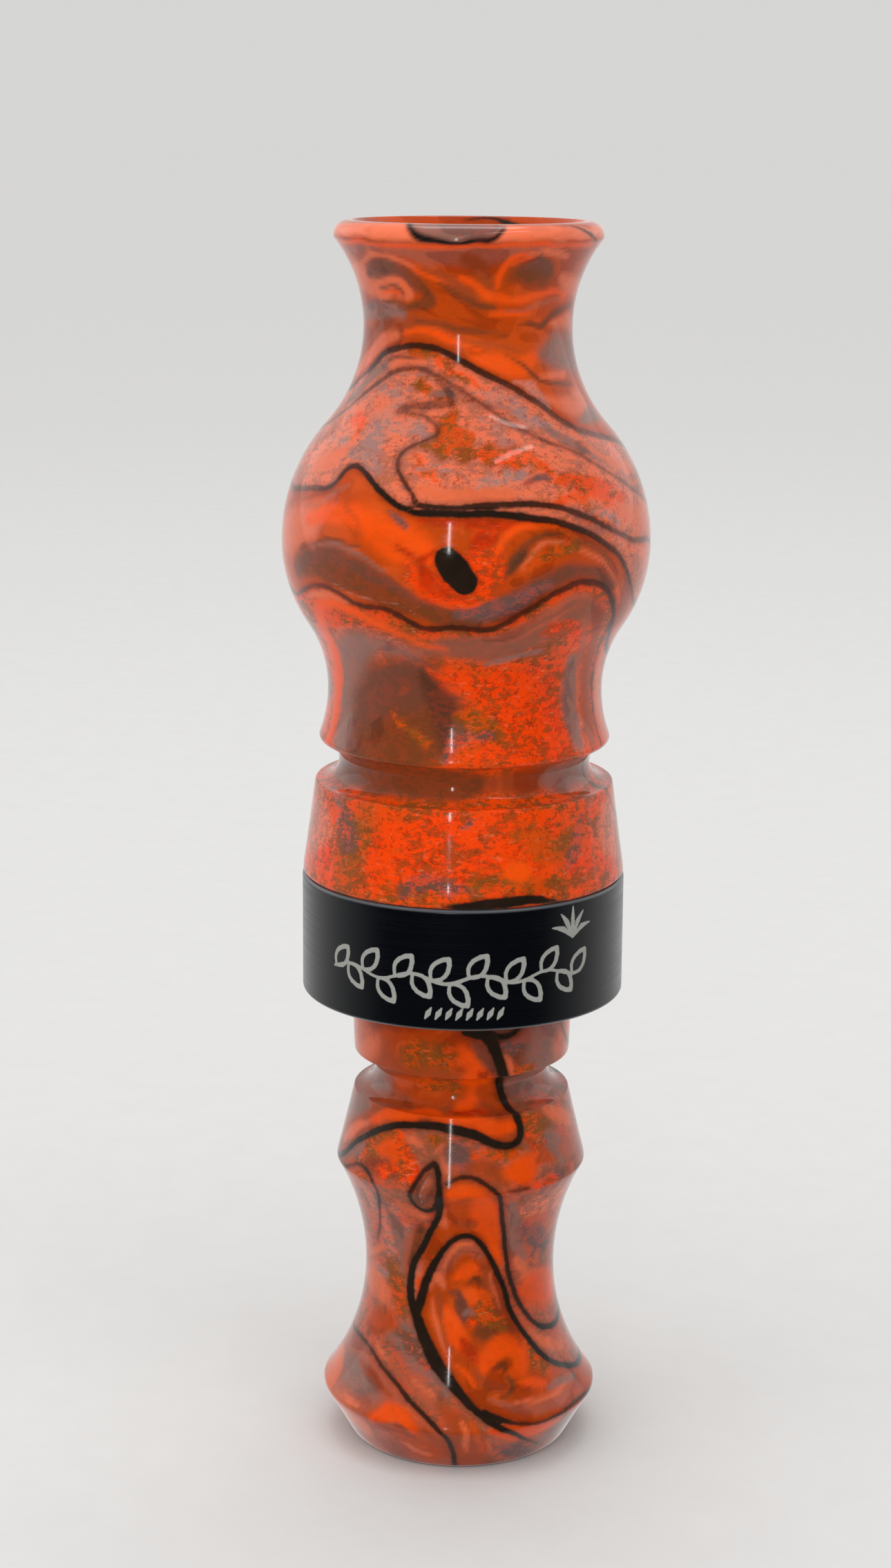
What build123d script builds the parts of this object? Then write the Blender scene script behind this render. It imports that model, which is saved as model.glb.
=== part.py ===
"""A short-reed goose call: turned resin barrel and insert, metal band and reed assembly.

Everything is turned about Z, in millimetres. The call stands on its insert's end face, at
Z = 0, with the mouthpiece up. Outlines are drawn as (radius, height) and revolved.
"""

import os

from build123d import *

# Heights above the end face
LOWER_RIDGE_HEIGHT = 5.5
INSERT_WAIST_HEIGHT = 19.2
MID_RIDGE_HEIGHT = 31.3
INSERT_GROOVE_HEIGHTS = (39.2, 43.4)
COLLAR_TOP = 50.3
TENON_LENGTH = 19.0
BAND_WIDTH = 12.7
BARREL_GROOVE_HEIGHTS = (73.1, 77.2)
BARREL_WAIST_HEIGHT = 82.8
BULB_HEIGHT = 98.2
NECK_HEIGHT = 120.1
LIP_HEIGHT = 128.9
CALL_LENGTH = 130.6

# Outer radii
END_RADIUS = 11.8
LOWER_RIDGE_RADIUS = 15.0
INSERT_WAIST_RADIUS = 10.25
MID_RIDGE_RADIUS = 13.4
COLLAR_RADIUS = 11.5
INSERT_GROOVE_RADIUS = 9.35
BAND_RADIUS = 17.0
BAND_WALL = 1.6
SKIRT_RADIUS = 17.0
BARREL_SHOULDER_RADIUS = 15.6
BARREL_GROOVE_RADIUS = 13.15
WAIST_LIP_RADIUS = 15.45
BARREL_WAIST_RADIUS = 14.3
BULB_RADIUS = 19.05
NECK_RADIUS = 10.65
LIP_RADIUS = 13.7
RIM_RADIUS = 12.3

# Rounds on the turned edges, and how a turned curve bends
SKIRT_ROUND = 0.5
SHOULDER_ROUND = 0.25
WAIST_LIP_ROUND = 0.6
LIP_ROUND = 0.45
RIM_ROUND = 0.3
BAND_ROUND = 0.4
END_ROUND = 0.5
BELL_ROUND = 0.4
LOWER_RIDGE_ROUND = 0.8
MID_RIDGE_ROUND = 0.5
COLLAR_ROUND = 0.2
TENON_ROUND = 0.8
WEDGE_ROUND = 0.25
LIP_BULGE = (-0.35, 1.15)
BULB_TURN = 0.45
NECK_TURN = 0.55

# Bores of the barrel
SOCKET_RADIUS = 9.5
CHAMBER_TOP = 108.0
MOUTH_BORE_RADIUS = 7.0
CHAMBER_CONE = 4.3
DISH_HEIGHT = 118.0
DISH_RADIUS = 11.8

# Bores of the insert
BELL_RADIUS = 9.0
BELL_DEPTH = 18.0
EXHAUST_RADIUS = 5.5
CHANNEL_SEAT = 34.0
CHANNEL_BORE_RADIUS = 6.35

# Fits
FACE_GAP = 0.05
SLIDING_GAP = 0.1
TENON_GAP = 0.15
RING_GAP = 0.03
EDGE_BREAK = 0.3

# O-rings
TENON_RING_HEIGHTS = {"tenon_o_ring_lower": 56.5, "tenon_o_ring_upper": 64.5}
TENON_RING_FLOOR = 7.75
TENON_RING_GROOVE_WIDTH = 2.2
CHANNEL_RING_HEIGHT = 40.0
CHANNEL_RING_FLOOR = 5.0
CHANNEL_RING_GROOVE_WIDTH = 1.8

# Reed assembly. The tone board faces -Y, towards the front of the call.
CHANNEL_TIP = 109.0
JAW_START = 70.0
JAW_END = 77.0
BOARD_Y = -0.8
JAW_Y = -2.75
FACING_MIDDLE_DROP = 0.6
FACING_TIP_DROP = 1.5
AIR_RADIUS = 2.8
AIR_Y = 0.9
AIR_END = 103.0
AIR_FLARE_RADIUS = 3.8
AIR_FLARE_DEPTH = 2.5
REED_WIDTH = 11.0
REED_THICKNESS = 0.35
REED_TAIL = 71.0
REED_OVERHANG = 1.0
REED_PLAY = 0.12
WEDGE_WIDTH = 10.4
WEDGE_START = 70.6
WEDGE_END = 78.4
WEDGE_TAPER = 0.35

# Sizes that follow from the ones above
BARREL_FOOT = COLLAR_TOP + FACE_GAP
BAND_TOP = BARREL_FOOT + BAND_WIDTH
SEAT_RADIUS = BAND_RADIUS - BAND_WALL
TENON_TOP = COLLAR_TOP + TENON_LENGTH
TENON_RADIUS = SOCKET_RADIUS - TENON_GAP
CHANNEL_RADIUS = CHANNEL_BORE_RADIUS - SLIDING_GAP
CHANNEL_FOOT = CHANNEL_SEAT + FACE_GAP
REED_Y = BOARD_Y - REED_PLAY
WEDGE_Y = REED_Y - REED_THICKNESS - REED_PLAY
WEDGE_TOP_Y = JAW_Y + SLIDING_GAP
FACING_MIDDLE = (JAW_END + CHANNEL_TIP) / 2


def s_curve(start, end, share):
    """Two tangent arcs between a narrowest and a widest place, upright at both."""
    turn = Vector(*start) + (Vector(*end) - Vector(*start)) * share
    lower = TangentArc(start, turn, tangent=(0, 1))
    TangentArc(turn, end, tangent=lower % 1)


def cove(heights, lower_radius, upper_radius, floor_radius):
    """The round groove that a lanyard's noose sits in."""
    low, high = heights
    ThreePointArc((lower_radius, low), (floor_radius, (low + high) / 2), (upper_radius, high))


def round_corner(sketch, corner, radius):
    fillet(sketch.vertices().sort_by_distance(corner)[0], radius)


def ring_groove(height, floor_radius, outer_radius, width):
    """Cuts an O-ring's groove into the part that is being made."""
    with BuildSketch(Plane.XZ) as groove:
        with Locations(((floor_radius + outer_radius) / 2, height)):
            Rectangle(outer_radius - floor_radius, width)
    revolve(groove.sketch, axis=Axis.Z, mode=Mode.SUBTRACT)


def o_ring(name, height, floor_radius, wall_radius):
    """An O-ring squeezed between its groove's floor and the bore around it."""
    inner = floor_radius + RING_GAP
    outer = wall_radius - RING_GAP
    with BuildPart() as ring:
        with BuildSketch(Plane.XZ):
            with Locations(((inner + outer) / 2, height)):
                Circle((outer - inner) / 2)
        revolve(axis=Axis.Z)
    ring.part.label = name
    return ring.part


def save(part):
    export_step(part, f"parts/{part.label}.step")


os.makedirs("parts", exist_ok=True)

# Barrel: skirt, lanyard groove, waist, bulb, neck and flared mouthpiece, bored through
with BuildPart() as barrel:
    with BuildSketch(Plane.XZ) as barrel_outline:
        with BuildLine():
            Polyline(
                (SOCKET_RADIUS, BARREL_FOOT),
                (SEAT_RADIUS, BARREL_FOOT),
                (SEAT_RADIUS, BAND_TOP),
                (SKIRT_RADIUS, BAND_TOP),
                (BARREL_SHOULDER_RADIUS, BARREL_GROOVE_HEIGHTS[0]),
            )
            cove(BARREL_GROOVE_HEIGHTS, BARREL_SHOULDER_RADIUS, WAIST_LIP_RADIUS, BARREL_GROOVE_RADIUS)
            TangentArc(
                (BARREL_WAIST_RADIUS, BARREL_WAIST_HEIGHT),
                (WAIST_LIP_RADIUS, BARREL_GROOVE_HEIGHTS[1]),
                tangent=(0, -1),
            )
            s_curve((BARREL_WAIST_RADIUS, BARREL_WAIST_HEIGHT), (BULB_RADIUS, BULB_HEIGHT), BULB_TURN)
            s_curve((BULB_RADIUS, BULB_HEIGHT), (NECK_RADIUS, NECK_HEIGHT), NECK_TURN)
            TangentArc((NECK_RADIUS, NECK_HEIGHT), (LIP_RADIUS, LIP_HEIGHT), tangent=(0, 1))
            ThreePointArc(
                (LIP_RADIUS, LIP_HEIGHT),
                (LIP_RADIUS + LIP_BULGE[0], LIP_HEIGHT + LIP_BULGE[1]),
                (RIM_RADIUS, CALL_LENGTH),
            )
            Line((RIM_RADIUS, CALL_LENGTH), (DISH_RADIUS, CALL_LENGTH))
            TangentArc((MOUTH_BORE_RADIUS, DISH_HEIGHT), (DISH_RADIUS, CALL_LENGTH), tangent=(0, 1))
            Polyline(
                (MOUTH_BORE_RADIUS, DISH_HEIGHT),
                (MOUTH_BORE_RADIUS, CHAMBER_TOP + CHAMBER_CONE),
                (SOCKET_RADIUS, CHAMBER_TOP),
                (SOCKET_RADIUS, BARREL_FOOT),
            )
        make_face()
        round_corner(barrel_outline, (SKIRT_RADIUS, BAND_TOP), SKIRT_ROUND)
        shoulder_corner = (BARREL_SHOULDER_RADIUS, BARREL_GROOVE_HEIGHTS[0])
        round_corner(barrel_outline, shoulder_corner, SHOULDER_ROUND)
        waist_lip_corner = (WAIST_LIP_RADIUS, BARREL_GROOVE_HEIGHTS[1])
        round_corner(barrel_outline, waist_lip_corner, WAIST_LIP_ROUND)
        round_corner(barrel_outline, (LIP_RADIUS, LIP_HEIGHT), LIP_ROUND)
        round_corner(barrel_outline, (DISH_RADIUS, CALL_LENGTH), RIM_ROUND)
        round_corner(barrel_outline, (SOCKET_RADIUS, BARREL_FOOT), EDGE_BREAK)
    revolve(axis=Axis.Z)
barrel.part.label = "barrel"
save(barrel.part)

# Band: a plain metal ring on the barrel's stepped-down end
with BuildPart() as band:
    with BuildSketch(Plane.XZ) as band_outline:
        with Locations((BAND_RADIUS - BAND_WALL / 2, BARREL_FOOT + BAND_WIDTH / 2)):
            Rectangle(BAND_WALL, BAND_WIDTH)
        for edge_height in (BARREL_FOOT, BAND_TOP):
            round_corner(band_outline, (BAND_RADIUS, edge_height), BAND_ROUND)
    revolve(axis=Axis.Z)
band.part.label = "band"
save(band.part)

# Insert: exhaust end, two ridges and a waist, lanyard groove, collar and grooved tenon
with BuildPart() as insert:
    with BuildSketch(Plane.XZ) as insert_outline:
        with BuildLine():
            Polyline((BELL_RADIUS, 0), (END_RADIUS, 0), (LOWER_RIDGE_RADIUS, LOWER_RIDGE_HEIGHT))
            TangentArc(
                (INSERT_WAIST_RADIUS, INSERT_WAIST_HEIGHT),
                (LOWER_RIDGE_RADIUS, LOWER_RIDGE_HEIGHT),
                tangent=(0, -1),
            )
            TangentArc(
                (INSERT_WAIST_RADIUS, INSERT_WAIST_HEIGHT),
                (MID_RIDGE_RADIUS, MID_RIDGE_HEIGHT),
                tangent=(0, 1),
            )
            Line((MID_RIDGE_RADIUS, MID_RIDGE_HEIGHT), (COLLAR_RADIUS, INSERT_GROOVE_HEIGHTS[0]))
            cove(INSERT_GROOVE_HEIGHTS, COLLAR_RADIUS, COLLAR_RADIUS, INSERT_GROOVE_RADIUS)
            Polyline(
                (COLLAR_RADIUS, INSERT_GROOVE_HEIGHTS[1]),
                (COLLAR_RADIUS, COLLAR_TOP),
                (TENON_RADIUS, COLLAR_TOP),
                (TENON_RADIUS, TENON_TOP),
                (CHANNEL_BORE_RADIUS, TENON_TOP),
                (CHANNEL_BORE_RADIUS, CHANNEL_SEAT),
                (EXHAUST_RADIUS, CHANNEL_SEAT),
                (EXHAUST_RADIUS, BELL_DEPTH),
            )
            TangentArc((EXHAUST_RADIUS, BELL_DEPTH), (BELL_RADIUS, 0), tangent=(0, -1))
        make_face()
        round_corner(insert_outline, (END_RADIUS, 0), END_ROUND)
        round_corner(insert_outline, (BELL_RADIUS, 0), BELL_ROUND)
        lower_ridge_corner = (LOWER_RIDGE_RADIUS, LOWER_RIDGE_HEIGHT)
        round_corner(insert_outline, lower_ridge_corner, LOWER_RIDGE_ROUND)
        round_corner(insert_outline, (MID_RIDGE_RADIUS, MID_RIDGE_HEIGHT), MID_RIDGE_ROUND)
        for groove_height in INSERT_GROOVE_HEIGHTS:
            round_corner(insert_outline, (COLLAR_RADIUS, groove_height), COLLAR_ROUND)
        round_corner(insert_outline, (TENON_RADIUS, TENON_TOP), TENON_ROUND)
        round_corner(insert_outline, (CHANNEL_BORE_RADIUS, TENON_TOP), EDGE_BREAK)
    revolve(axis=Axis.Z)
    for ring_height in TENON_RING_HEIGHTS.values():
        ring_groove(ring_height, TENON_RING_FLOOR, TENON_RADIUS, TENON_RING_GROOVE_WIDTH)
insert.part.label = "insert"
save(insert.part)

# O-rings: two on the tenon, one on the tone channel
for ring_name, ring_height in TENON_RING_HEIGHTS.items():
    save(o_ring(ring_name, ring_height, TENON_RING_FLOOR, SOCKET_RADIUS))
save(o_ring("channel_o_ring", CHANNEL_RING_HEIGHT, CHANNEL_RING_FLOOR, CHANNEL_BORE_RADIUS))

# Tone channel: a tube that opens into a trough under a curved tone board, with a clamping jaw
with BuildPart() as tone_channel:
    with BuildSketch(Plane.XY.offset(CHANNEL_FOOT)):
        Circle(CHANNEL_RADIUS)
    extrude(amount=CHANNEL_TIP - CHANNEL_FOOT)
    # The tip is round, seen from the board's side
    with BuildSketch(Plane.XZ) as tip_outline:
        with Locations((0, (CHANNEL_FOOT + CHANNEL_TIP) / 2)):
            RectangleRounded(2 * CHANNEL_RADIUS, CHANNEL_TIP - CHANNEL_FOOT, 0.7 * CHANNEL_RADIUS)
        with Locations((0, CHANNEL_FOOT + CHANNEL_RADIUS)):
            Rectangle(2 * CHANNEL_RADIUS, 2 * CHANNEL_RADIUS)
    extrude(amount=CHANNEL_RADIUS, both=True, mode=Mode.INTERSECT)
    # Everything in front of the board is cut away above the jaw, down to its curved facing
    with BuildSketch(Plane.YZ):
        with BuildLine():
            ThreePointArc(
                (BOARD_Y, JAW_END),
                (BOARD_Y + FACING_MIDDLE_DROP, FACING_MIDDLE),
                (BOARD_Y + FACING_TIP_DROP, CHANNEL_TIP),
            )
            Polyline(
                (BOARD_Y + FACING_TIP_DROP, CHANNEL_TIP),
                (-2 * CHANNEL_RADIUS, CHANNEL_TIP),
                (-2 * CHANNEL_RADIUS, JAW_END),
                (BOARD_Y, JAW_END),
            )
        make_face()
    extrude(amount=CHANNEL_RADIUS, both=True, mode=Mode.SUBTRACT)
    # The slot that takes the reed and the wedge
    with BuildSketch(Plane.YZ):
        with Locations(((BOARD_Y + JAW_Y) / 2, (JAW_START + JAW_END) / 2)):
            Rectangle(BOARD_Y - JAW_Y, JAW_END - JAW_START)
    extrude(amount=CHANNEL_RADIUS, both=True, mode=Mode.SUBTRACT)
    # The air's way: a bore through the tube, a round-ended trough along the board, a flared exit
    with BuildSketch(Plane.XY.offset(CHANNEL_FOOT)):
        with Locations((0, AIR_Y)):
            Circle(AIR_RADIUS)
    extrude(amount=AIR_END - CHANNEL_FOOT, mode=Mode.SUBTRACT)
    with Locations((0, AIR_Y, AIR_END)):
        Sphere(AIR_RADIUS, mode=Mode.SUBTRACT)
    with Locations((0, 0, CHANNEL_FOOT + AIR_FLARE_DEPTH / 2)):
        Cone(AIR_FLARE_RADIUS, AIR_RADIUS, AIR_FLARE_DEPTH, mode=Mode.SUBTRACT)
    ring_groove(CHANNEL_RING_HEIGHT, CHANNEL_RING_FLOOR, CHANNEL_RADIUS, CHANNEL_RING_GROOVE_WIDTH)
tone_channel.part.label = "tone_channel"
save(tone_channel.part)

# Reed: a thin strip with a round tip, a little longer than the board
with BuildPart() as reed:
    with BuildSketch(Plane.XZ.offset(-REED_Y)) as reed_outline:
        with Locations((0, (REED_TAIL + CHANNEL_TIP + REED_OVERHANG) / 2)):
            Rectangle(REED_WIDTH, CHANNEL_TIP + REED_OVERHANG - REED_TAIL)
        for side in (-1, 1):
            tip_corner = (side * REED_WIDTH / 2, CHANNEL_TIP + REED_OVERHANG)
            round_corner(reed_outline, tip_corner, 0.45 * REED_WIDTH)
    extrude(amount=REED_THICKNESS)
reed.part.label = "reed"
save(reed.part)

# Wedge: thicker at the end that stands out of the jaw
with BuildPart() as wedge:
    with BuildSketch(Plane.YZ):
        with BuildLine():
            Polyline(
                (WEDGE_Y, WEDGE_START),
                (WEDGE_Y, WEDGE_END),
                (WEDGE_TOP_Y, WEDGE_END),
                (WEDGE_TOP_Y + WEDGE_TAPER, WEDGE_START),
                close=True,
            )
        make_face()
    extrude(amount=WEDGE_WIDTH / 2, both=True)
    fillet(wedge.edges().filter_by(Axis.X).group_by(Axis.Z)[-1], WEDGE_ROUND)
wedge.part.label = "wedge"
save(wedge.part)
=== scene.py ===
"""Looks for the short-reed goose call: marbled resin, anodised band, rubber, acetal and film.

Heights on the call are in millimetres above its end face, and angles are in degrees round its
axis, with 0 at the front and positive angles to the right.
"""

import math

import bpy
import numpy as np
from mathutils import Matrix, Vector, noise


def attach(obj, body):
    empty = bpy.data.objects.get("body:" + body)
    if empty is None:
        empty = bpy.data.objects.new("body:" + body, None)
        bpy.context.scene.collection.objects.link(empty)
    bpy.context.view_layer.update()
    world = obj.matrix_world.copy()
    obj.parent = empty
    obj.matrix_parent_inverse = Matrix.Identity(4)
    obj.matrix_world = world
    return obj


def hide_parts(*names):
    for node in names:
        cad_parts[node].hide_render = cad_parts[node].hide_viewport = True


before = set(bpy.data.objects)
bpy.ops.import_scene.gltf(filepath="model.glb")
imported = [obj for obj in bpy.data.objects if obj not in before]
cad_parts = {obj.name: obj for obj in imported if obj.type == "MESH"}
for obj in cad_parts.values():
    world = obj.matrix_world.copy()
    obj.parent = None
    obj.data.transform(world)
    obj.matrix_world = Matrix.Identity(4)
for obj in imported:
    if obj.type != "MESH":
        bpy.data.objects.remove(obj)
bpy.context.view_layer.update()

MM = 0.001

# ---------------------------------------------------------------- resin colours

# Each colour is linear, and has how grainy the resin is there, from 0, smooth, to 1, all crumbs
RESIN = {
    "vivid": ((0.90, 0.044, 0.001), 0.85),
    "flame": ((0.95, 0.088, 0.003), 0.12),
    "glow": ((0.88, 0.115, 0.030), 0.9),
    "red": ((0.52, 0.024, 0.001), 0.3),
    "coral": ((0.78, 0.150, 0.058), 0.15),
    # The next colour is a painted pale reflection, laid only along the lip's rim
    "blush": ((0.95, 0.200, 0.090), 0.1),
    "amber": ((0.52, 0.060, 0.003), 0.1),
    "crumb": ((0.62, 0.070, 0.008), 1.0),
    "rust": ((0.40, 0.062, 0.014), 0.1),
    "terra": ((0.46, 0.100, 0.050), 0.1),
    "rosy": ((0.66, 0.160, 0.085), 0.9),
    "clay": ((0.40, 0.105, 0.056), 0.45),
    # lilac is a pale mauve of the resin, and on the bulb's left it is also painted haze
    "lilac": ((0.46, 0.205, 0.160), 0.7),
    "tan": ((0.29, 0.090, 0.052), 0.12),
    "smoke": ((0.16, 0.078, 0.066), 0.75),
    "bark": ((0.20, 0.048, 0.014), 0.12),
    "ochre": ((0.36, 0.078, 0.008), 0.7),
    "cocoa": ((0.18, 0.056, 0.032), 0.1),
    "ash": ((0.29, 0.135, 0.105), 0.12),
    "slate": ((0.150, 0.082, 0.078), 0.3),
    "umber": ((0.10, 0.035, 0.020), 0.15),
    "char": ((0.010, 0.009, 0.008), 0.0),
}

# ---------------------------------------------------------------- resin pattern of the barrel

# Each vein is its half-widths in mm, spread evenly along it, the points that it runs through, and
# in some how dark it is, also spread evenly along it, because cloudy resin covers it in places.
# Two veins that run close together go opposite ways, so that the gap lies on the same side of both.
BARREL_VEINS = {
    "crest": ((0.36, 0.36, 0.4, 0.3, 0.25, 0.3, 0.25), [
        (-62, 115.9), (-50, 117.7), (-40, 118.4), (-28, 118.8), (-15, 118.3), (0, 117.0),
        (12, 115.8), (24, 114.6), (34, 113.2), (42, 111.8), (50, 110.6), (60, 109.8),
        (75, 109.0), (95, 107.5), (120, 110), (145, 114.5), (165, 117), (185, 116.8),
        (205, 114.5), (230, 112.8), (258, 112.8), (280, 113.8), (298, 115.9),
    ], (0.85, 0.95, 0.6, 0.9, 0.9, 0.9, 0.85)),
    "second": ((0.3, 0.22, 0.22, 0.3, 0.3, 0.22), [
        (-60, 113.4), (-50, 114.9), (-40, 116.1), (-30, 116.5), (-20, 116.2), (-10, 115.3),
        (0, 114.1), (10, 112.7), (20, 111.2), (30, 109.9), (40, 108.8), (50, 107.3),
        (60, 105.6), (70, 104.1), (90, 101.8), (110, 101.5), (130, 104), (150, 108.5),
        (175, 112.5), (200, 111.8), (220, 109.5), (240, 108.2), (262, 108.8), (282, 110.6),
        (300, 113.4),
    ], (0.75, 0.6, 0.6, 0.9, 0.9, 0.75)),
    "shelf": ((0.3, 0.32, 0.42, 0.3, 0.26, 0.26, 0.25, 0.3, 0.25), [
        (-75, 104.0), (-60, 104.5), (-52, 104.7), (-48, 105.5), (-45, 106.8), (-41, 107.2),
        (-36, 106.6), (-30, 105.3), (-25, 104.4), (-20, 103.6), (-14, 103.2), (-5, 103.3),
        (5, 103.3), (12, 103.1), (20, 102.8), (28, 102.3), (34, 101.7), (40, 100.9), (47, 99.5),
        (53, 98.3), (57, 96.9), (62, 95.0), (70, 93.0), (85, 91.8), (105, 92.8), (125, 95.4),
        (150, 97.6), (175, 96.0), (200, 97.2), (225, 100.5), (250, 103.2), (270, 104.2),
        (285, 104.0),
    ], (0.7, 1.0, 1.0, 0.8, 0.9, 0.9, 0.9, 0.8, 0.7)),
    "shelf_twin": ((0.2, 0.25, 0.26, 0.3, 0.34, 0.3), [
        (160, 109.5), (148, 105), (130, 101), (110, 98.4), (92, 97.6), (75, 99.0), (63, 99.5),
        (55, 100.2), (48, 101.1), (41, 102.3), (34, 103.2), (28, 103.8), (20, 104.1), (12, 104.1),
        (5, 104.0), (-5, 103.9), (-13, 103.9), (-17, 104.2),
    ], (0.9, 0.9, 0.8, 0.75, 0.95, 1.0)),
    "hook": ((0.3, 0.25, 0.22, 0.2, 0.5, 0.3), [
        (-12, 103.6), (-16, 104.2), (-18.5, 105.3), (-22, 106.4), (-25, 107.5), (-24.5, 108.5),
        (-21, 109.3), (-15, 110.0), (-12, 110.6), (-14, 111.4), (-20, 112.1), (-27, 112.2),
        (-33, 112.4), (-30, 112.7), (-22, 113.0), (-14, 113.3), (-8, 113.3), (-9, 114.3),
        (-14, 115.3),
    ], (1.0, 0.85, 0.75, 0.55, 0.5, 0.5)),
    "sill": ((0.22, 0.34, 0.36, 0.34, 0.3, 0.25, 0.3, 0.25), [
        (-70, 93.2), (-60, 94.4), (-50, 95.1), (-43, 94.8), (-37, 93.9), (-32, 93.7),
        (-27, 93.7), (-21, 92.9), (-15, 91.9), (-10, 91.8), (-5, 92.0), (1, 91.8),
        (7, 91.8), (12, 92.3), (16, 93.2), (21, 94.1), (26, 95.1), (31, 95.7), (36, 96.2),
        (42, 96.0), (48, 95.1), (53, 93.6), (58, 91.4), (66, 88.6), (80, 87.0), (100, 88.4),
        (120, 90.4), (145, 91.2), (170, 89.6), (195, 90.6), (220, 93.6), (245, 95.4),
        (270, 94.2), (290, 93.2),
    ], (0.75, 0.85, 0.8, 0.9, 0.9, 0.9, 0.9, 0.75)),
    "runnel": ((0.14, 0.18, 0.16), [
        (54, 93.4), (58, 90), (61.5, 87), (64, 84.5), (66, 82), (67.5, 79), (68, 77),
        (71, 73), (80, 70), (92, 68), (106, 69),
    ]),
    "band_edge": ((0.1, 0.5, 0.62, 0.6, 0.45, 0.1), [
        (-8, 63.3), (0, 63.4), (8, 63.6), (16, 63.8), (23, 63.9), (30, 63.5), (37, 63.1),
    ]),
    "eye": ((1.25, 1.5, 1.35), [(-6, 98.9), (-3.5, 97.9), (-0.6, 96.7)]),
    "lip_streak": ((0.15, 0.28, 0.15), [(50, 130.4), (58, 129.8), (64, 129.2), (70, 128.6)]),
    "back_eye": ((0.8, 1.5, 0.9), [(186, 103.4), (190, 102.2), (195, 101.4)]),
    "back_hook": ((0.2, 0.3, 0.22, 0.3), [
        (228, 108.9), (222, 106.4), (212, 105.6), (203, 106.6), (196, 108.4), (201, 110.0),
        (210, 109.2),
    ]),
    "back_loop": ((0.2, 0.34, 0.4, 0.22), [
        (120, 87), (131, 85.4), (143, 82), (150, 78.4), (158, 75), (170, 71.4), (186, 69.4),
        (203, 70.6), (214, 74), (218, 79), (212, 84), (200, 86.6), (188, 84.6), (186, 80.8),
        (194, 79),
    ]),
    "back_skirt": ((0.2, 0.36, 0.2), [
        (216, 64.4), (228, 66.4), (242, 67.2), (256, 66), (266, 66.9),
    ]),
    "back_neck": ((0.14, 0.3, 0.26, 0.14), [
        (104, 119.8), (116, 122), (131, 123.6), (147, 123), (160, 121), (172, 120),
        (188, 121.2), (203, 124), (220, 126.2), (240, 126.4),
    ]),
    "back_lip": ((0.15, 0.45, 0.3, 0.12), [
        (122, 129.6), (136, 129.0), (152, 129.6), (168, 130.4), (182, 130.2),
    ]),
}

BARREL_PALE_VEINS = {
    "crest_shine": ((0.06, 0.1, 0.06), [
        (-74, 111.0), (-60, 112.8), (-50, 114.4), (-40, 115.6), (-30, 116.0), (-20, 115.7),
        (-12, 115.0),
    ]),
    "sill_crumbs": ((0.05, 0.12, 0.05), [
        (-54, 95.6), (-44, 95.6), (-38, 94.9), (-30, 94.5), (-22, 94.2), (-16, 93.3),
    ]),
}

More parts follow.
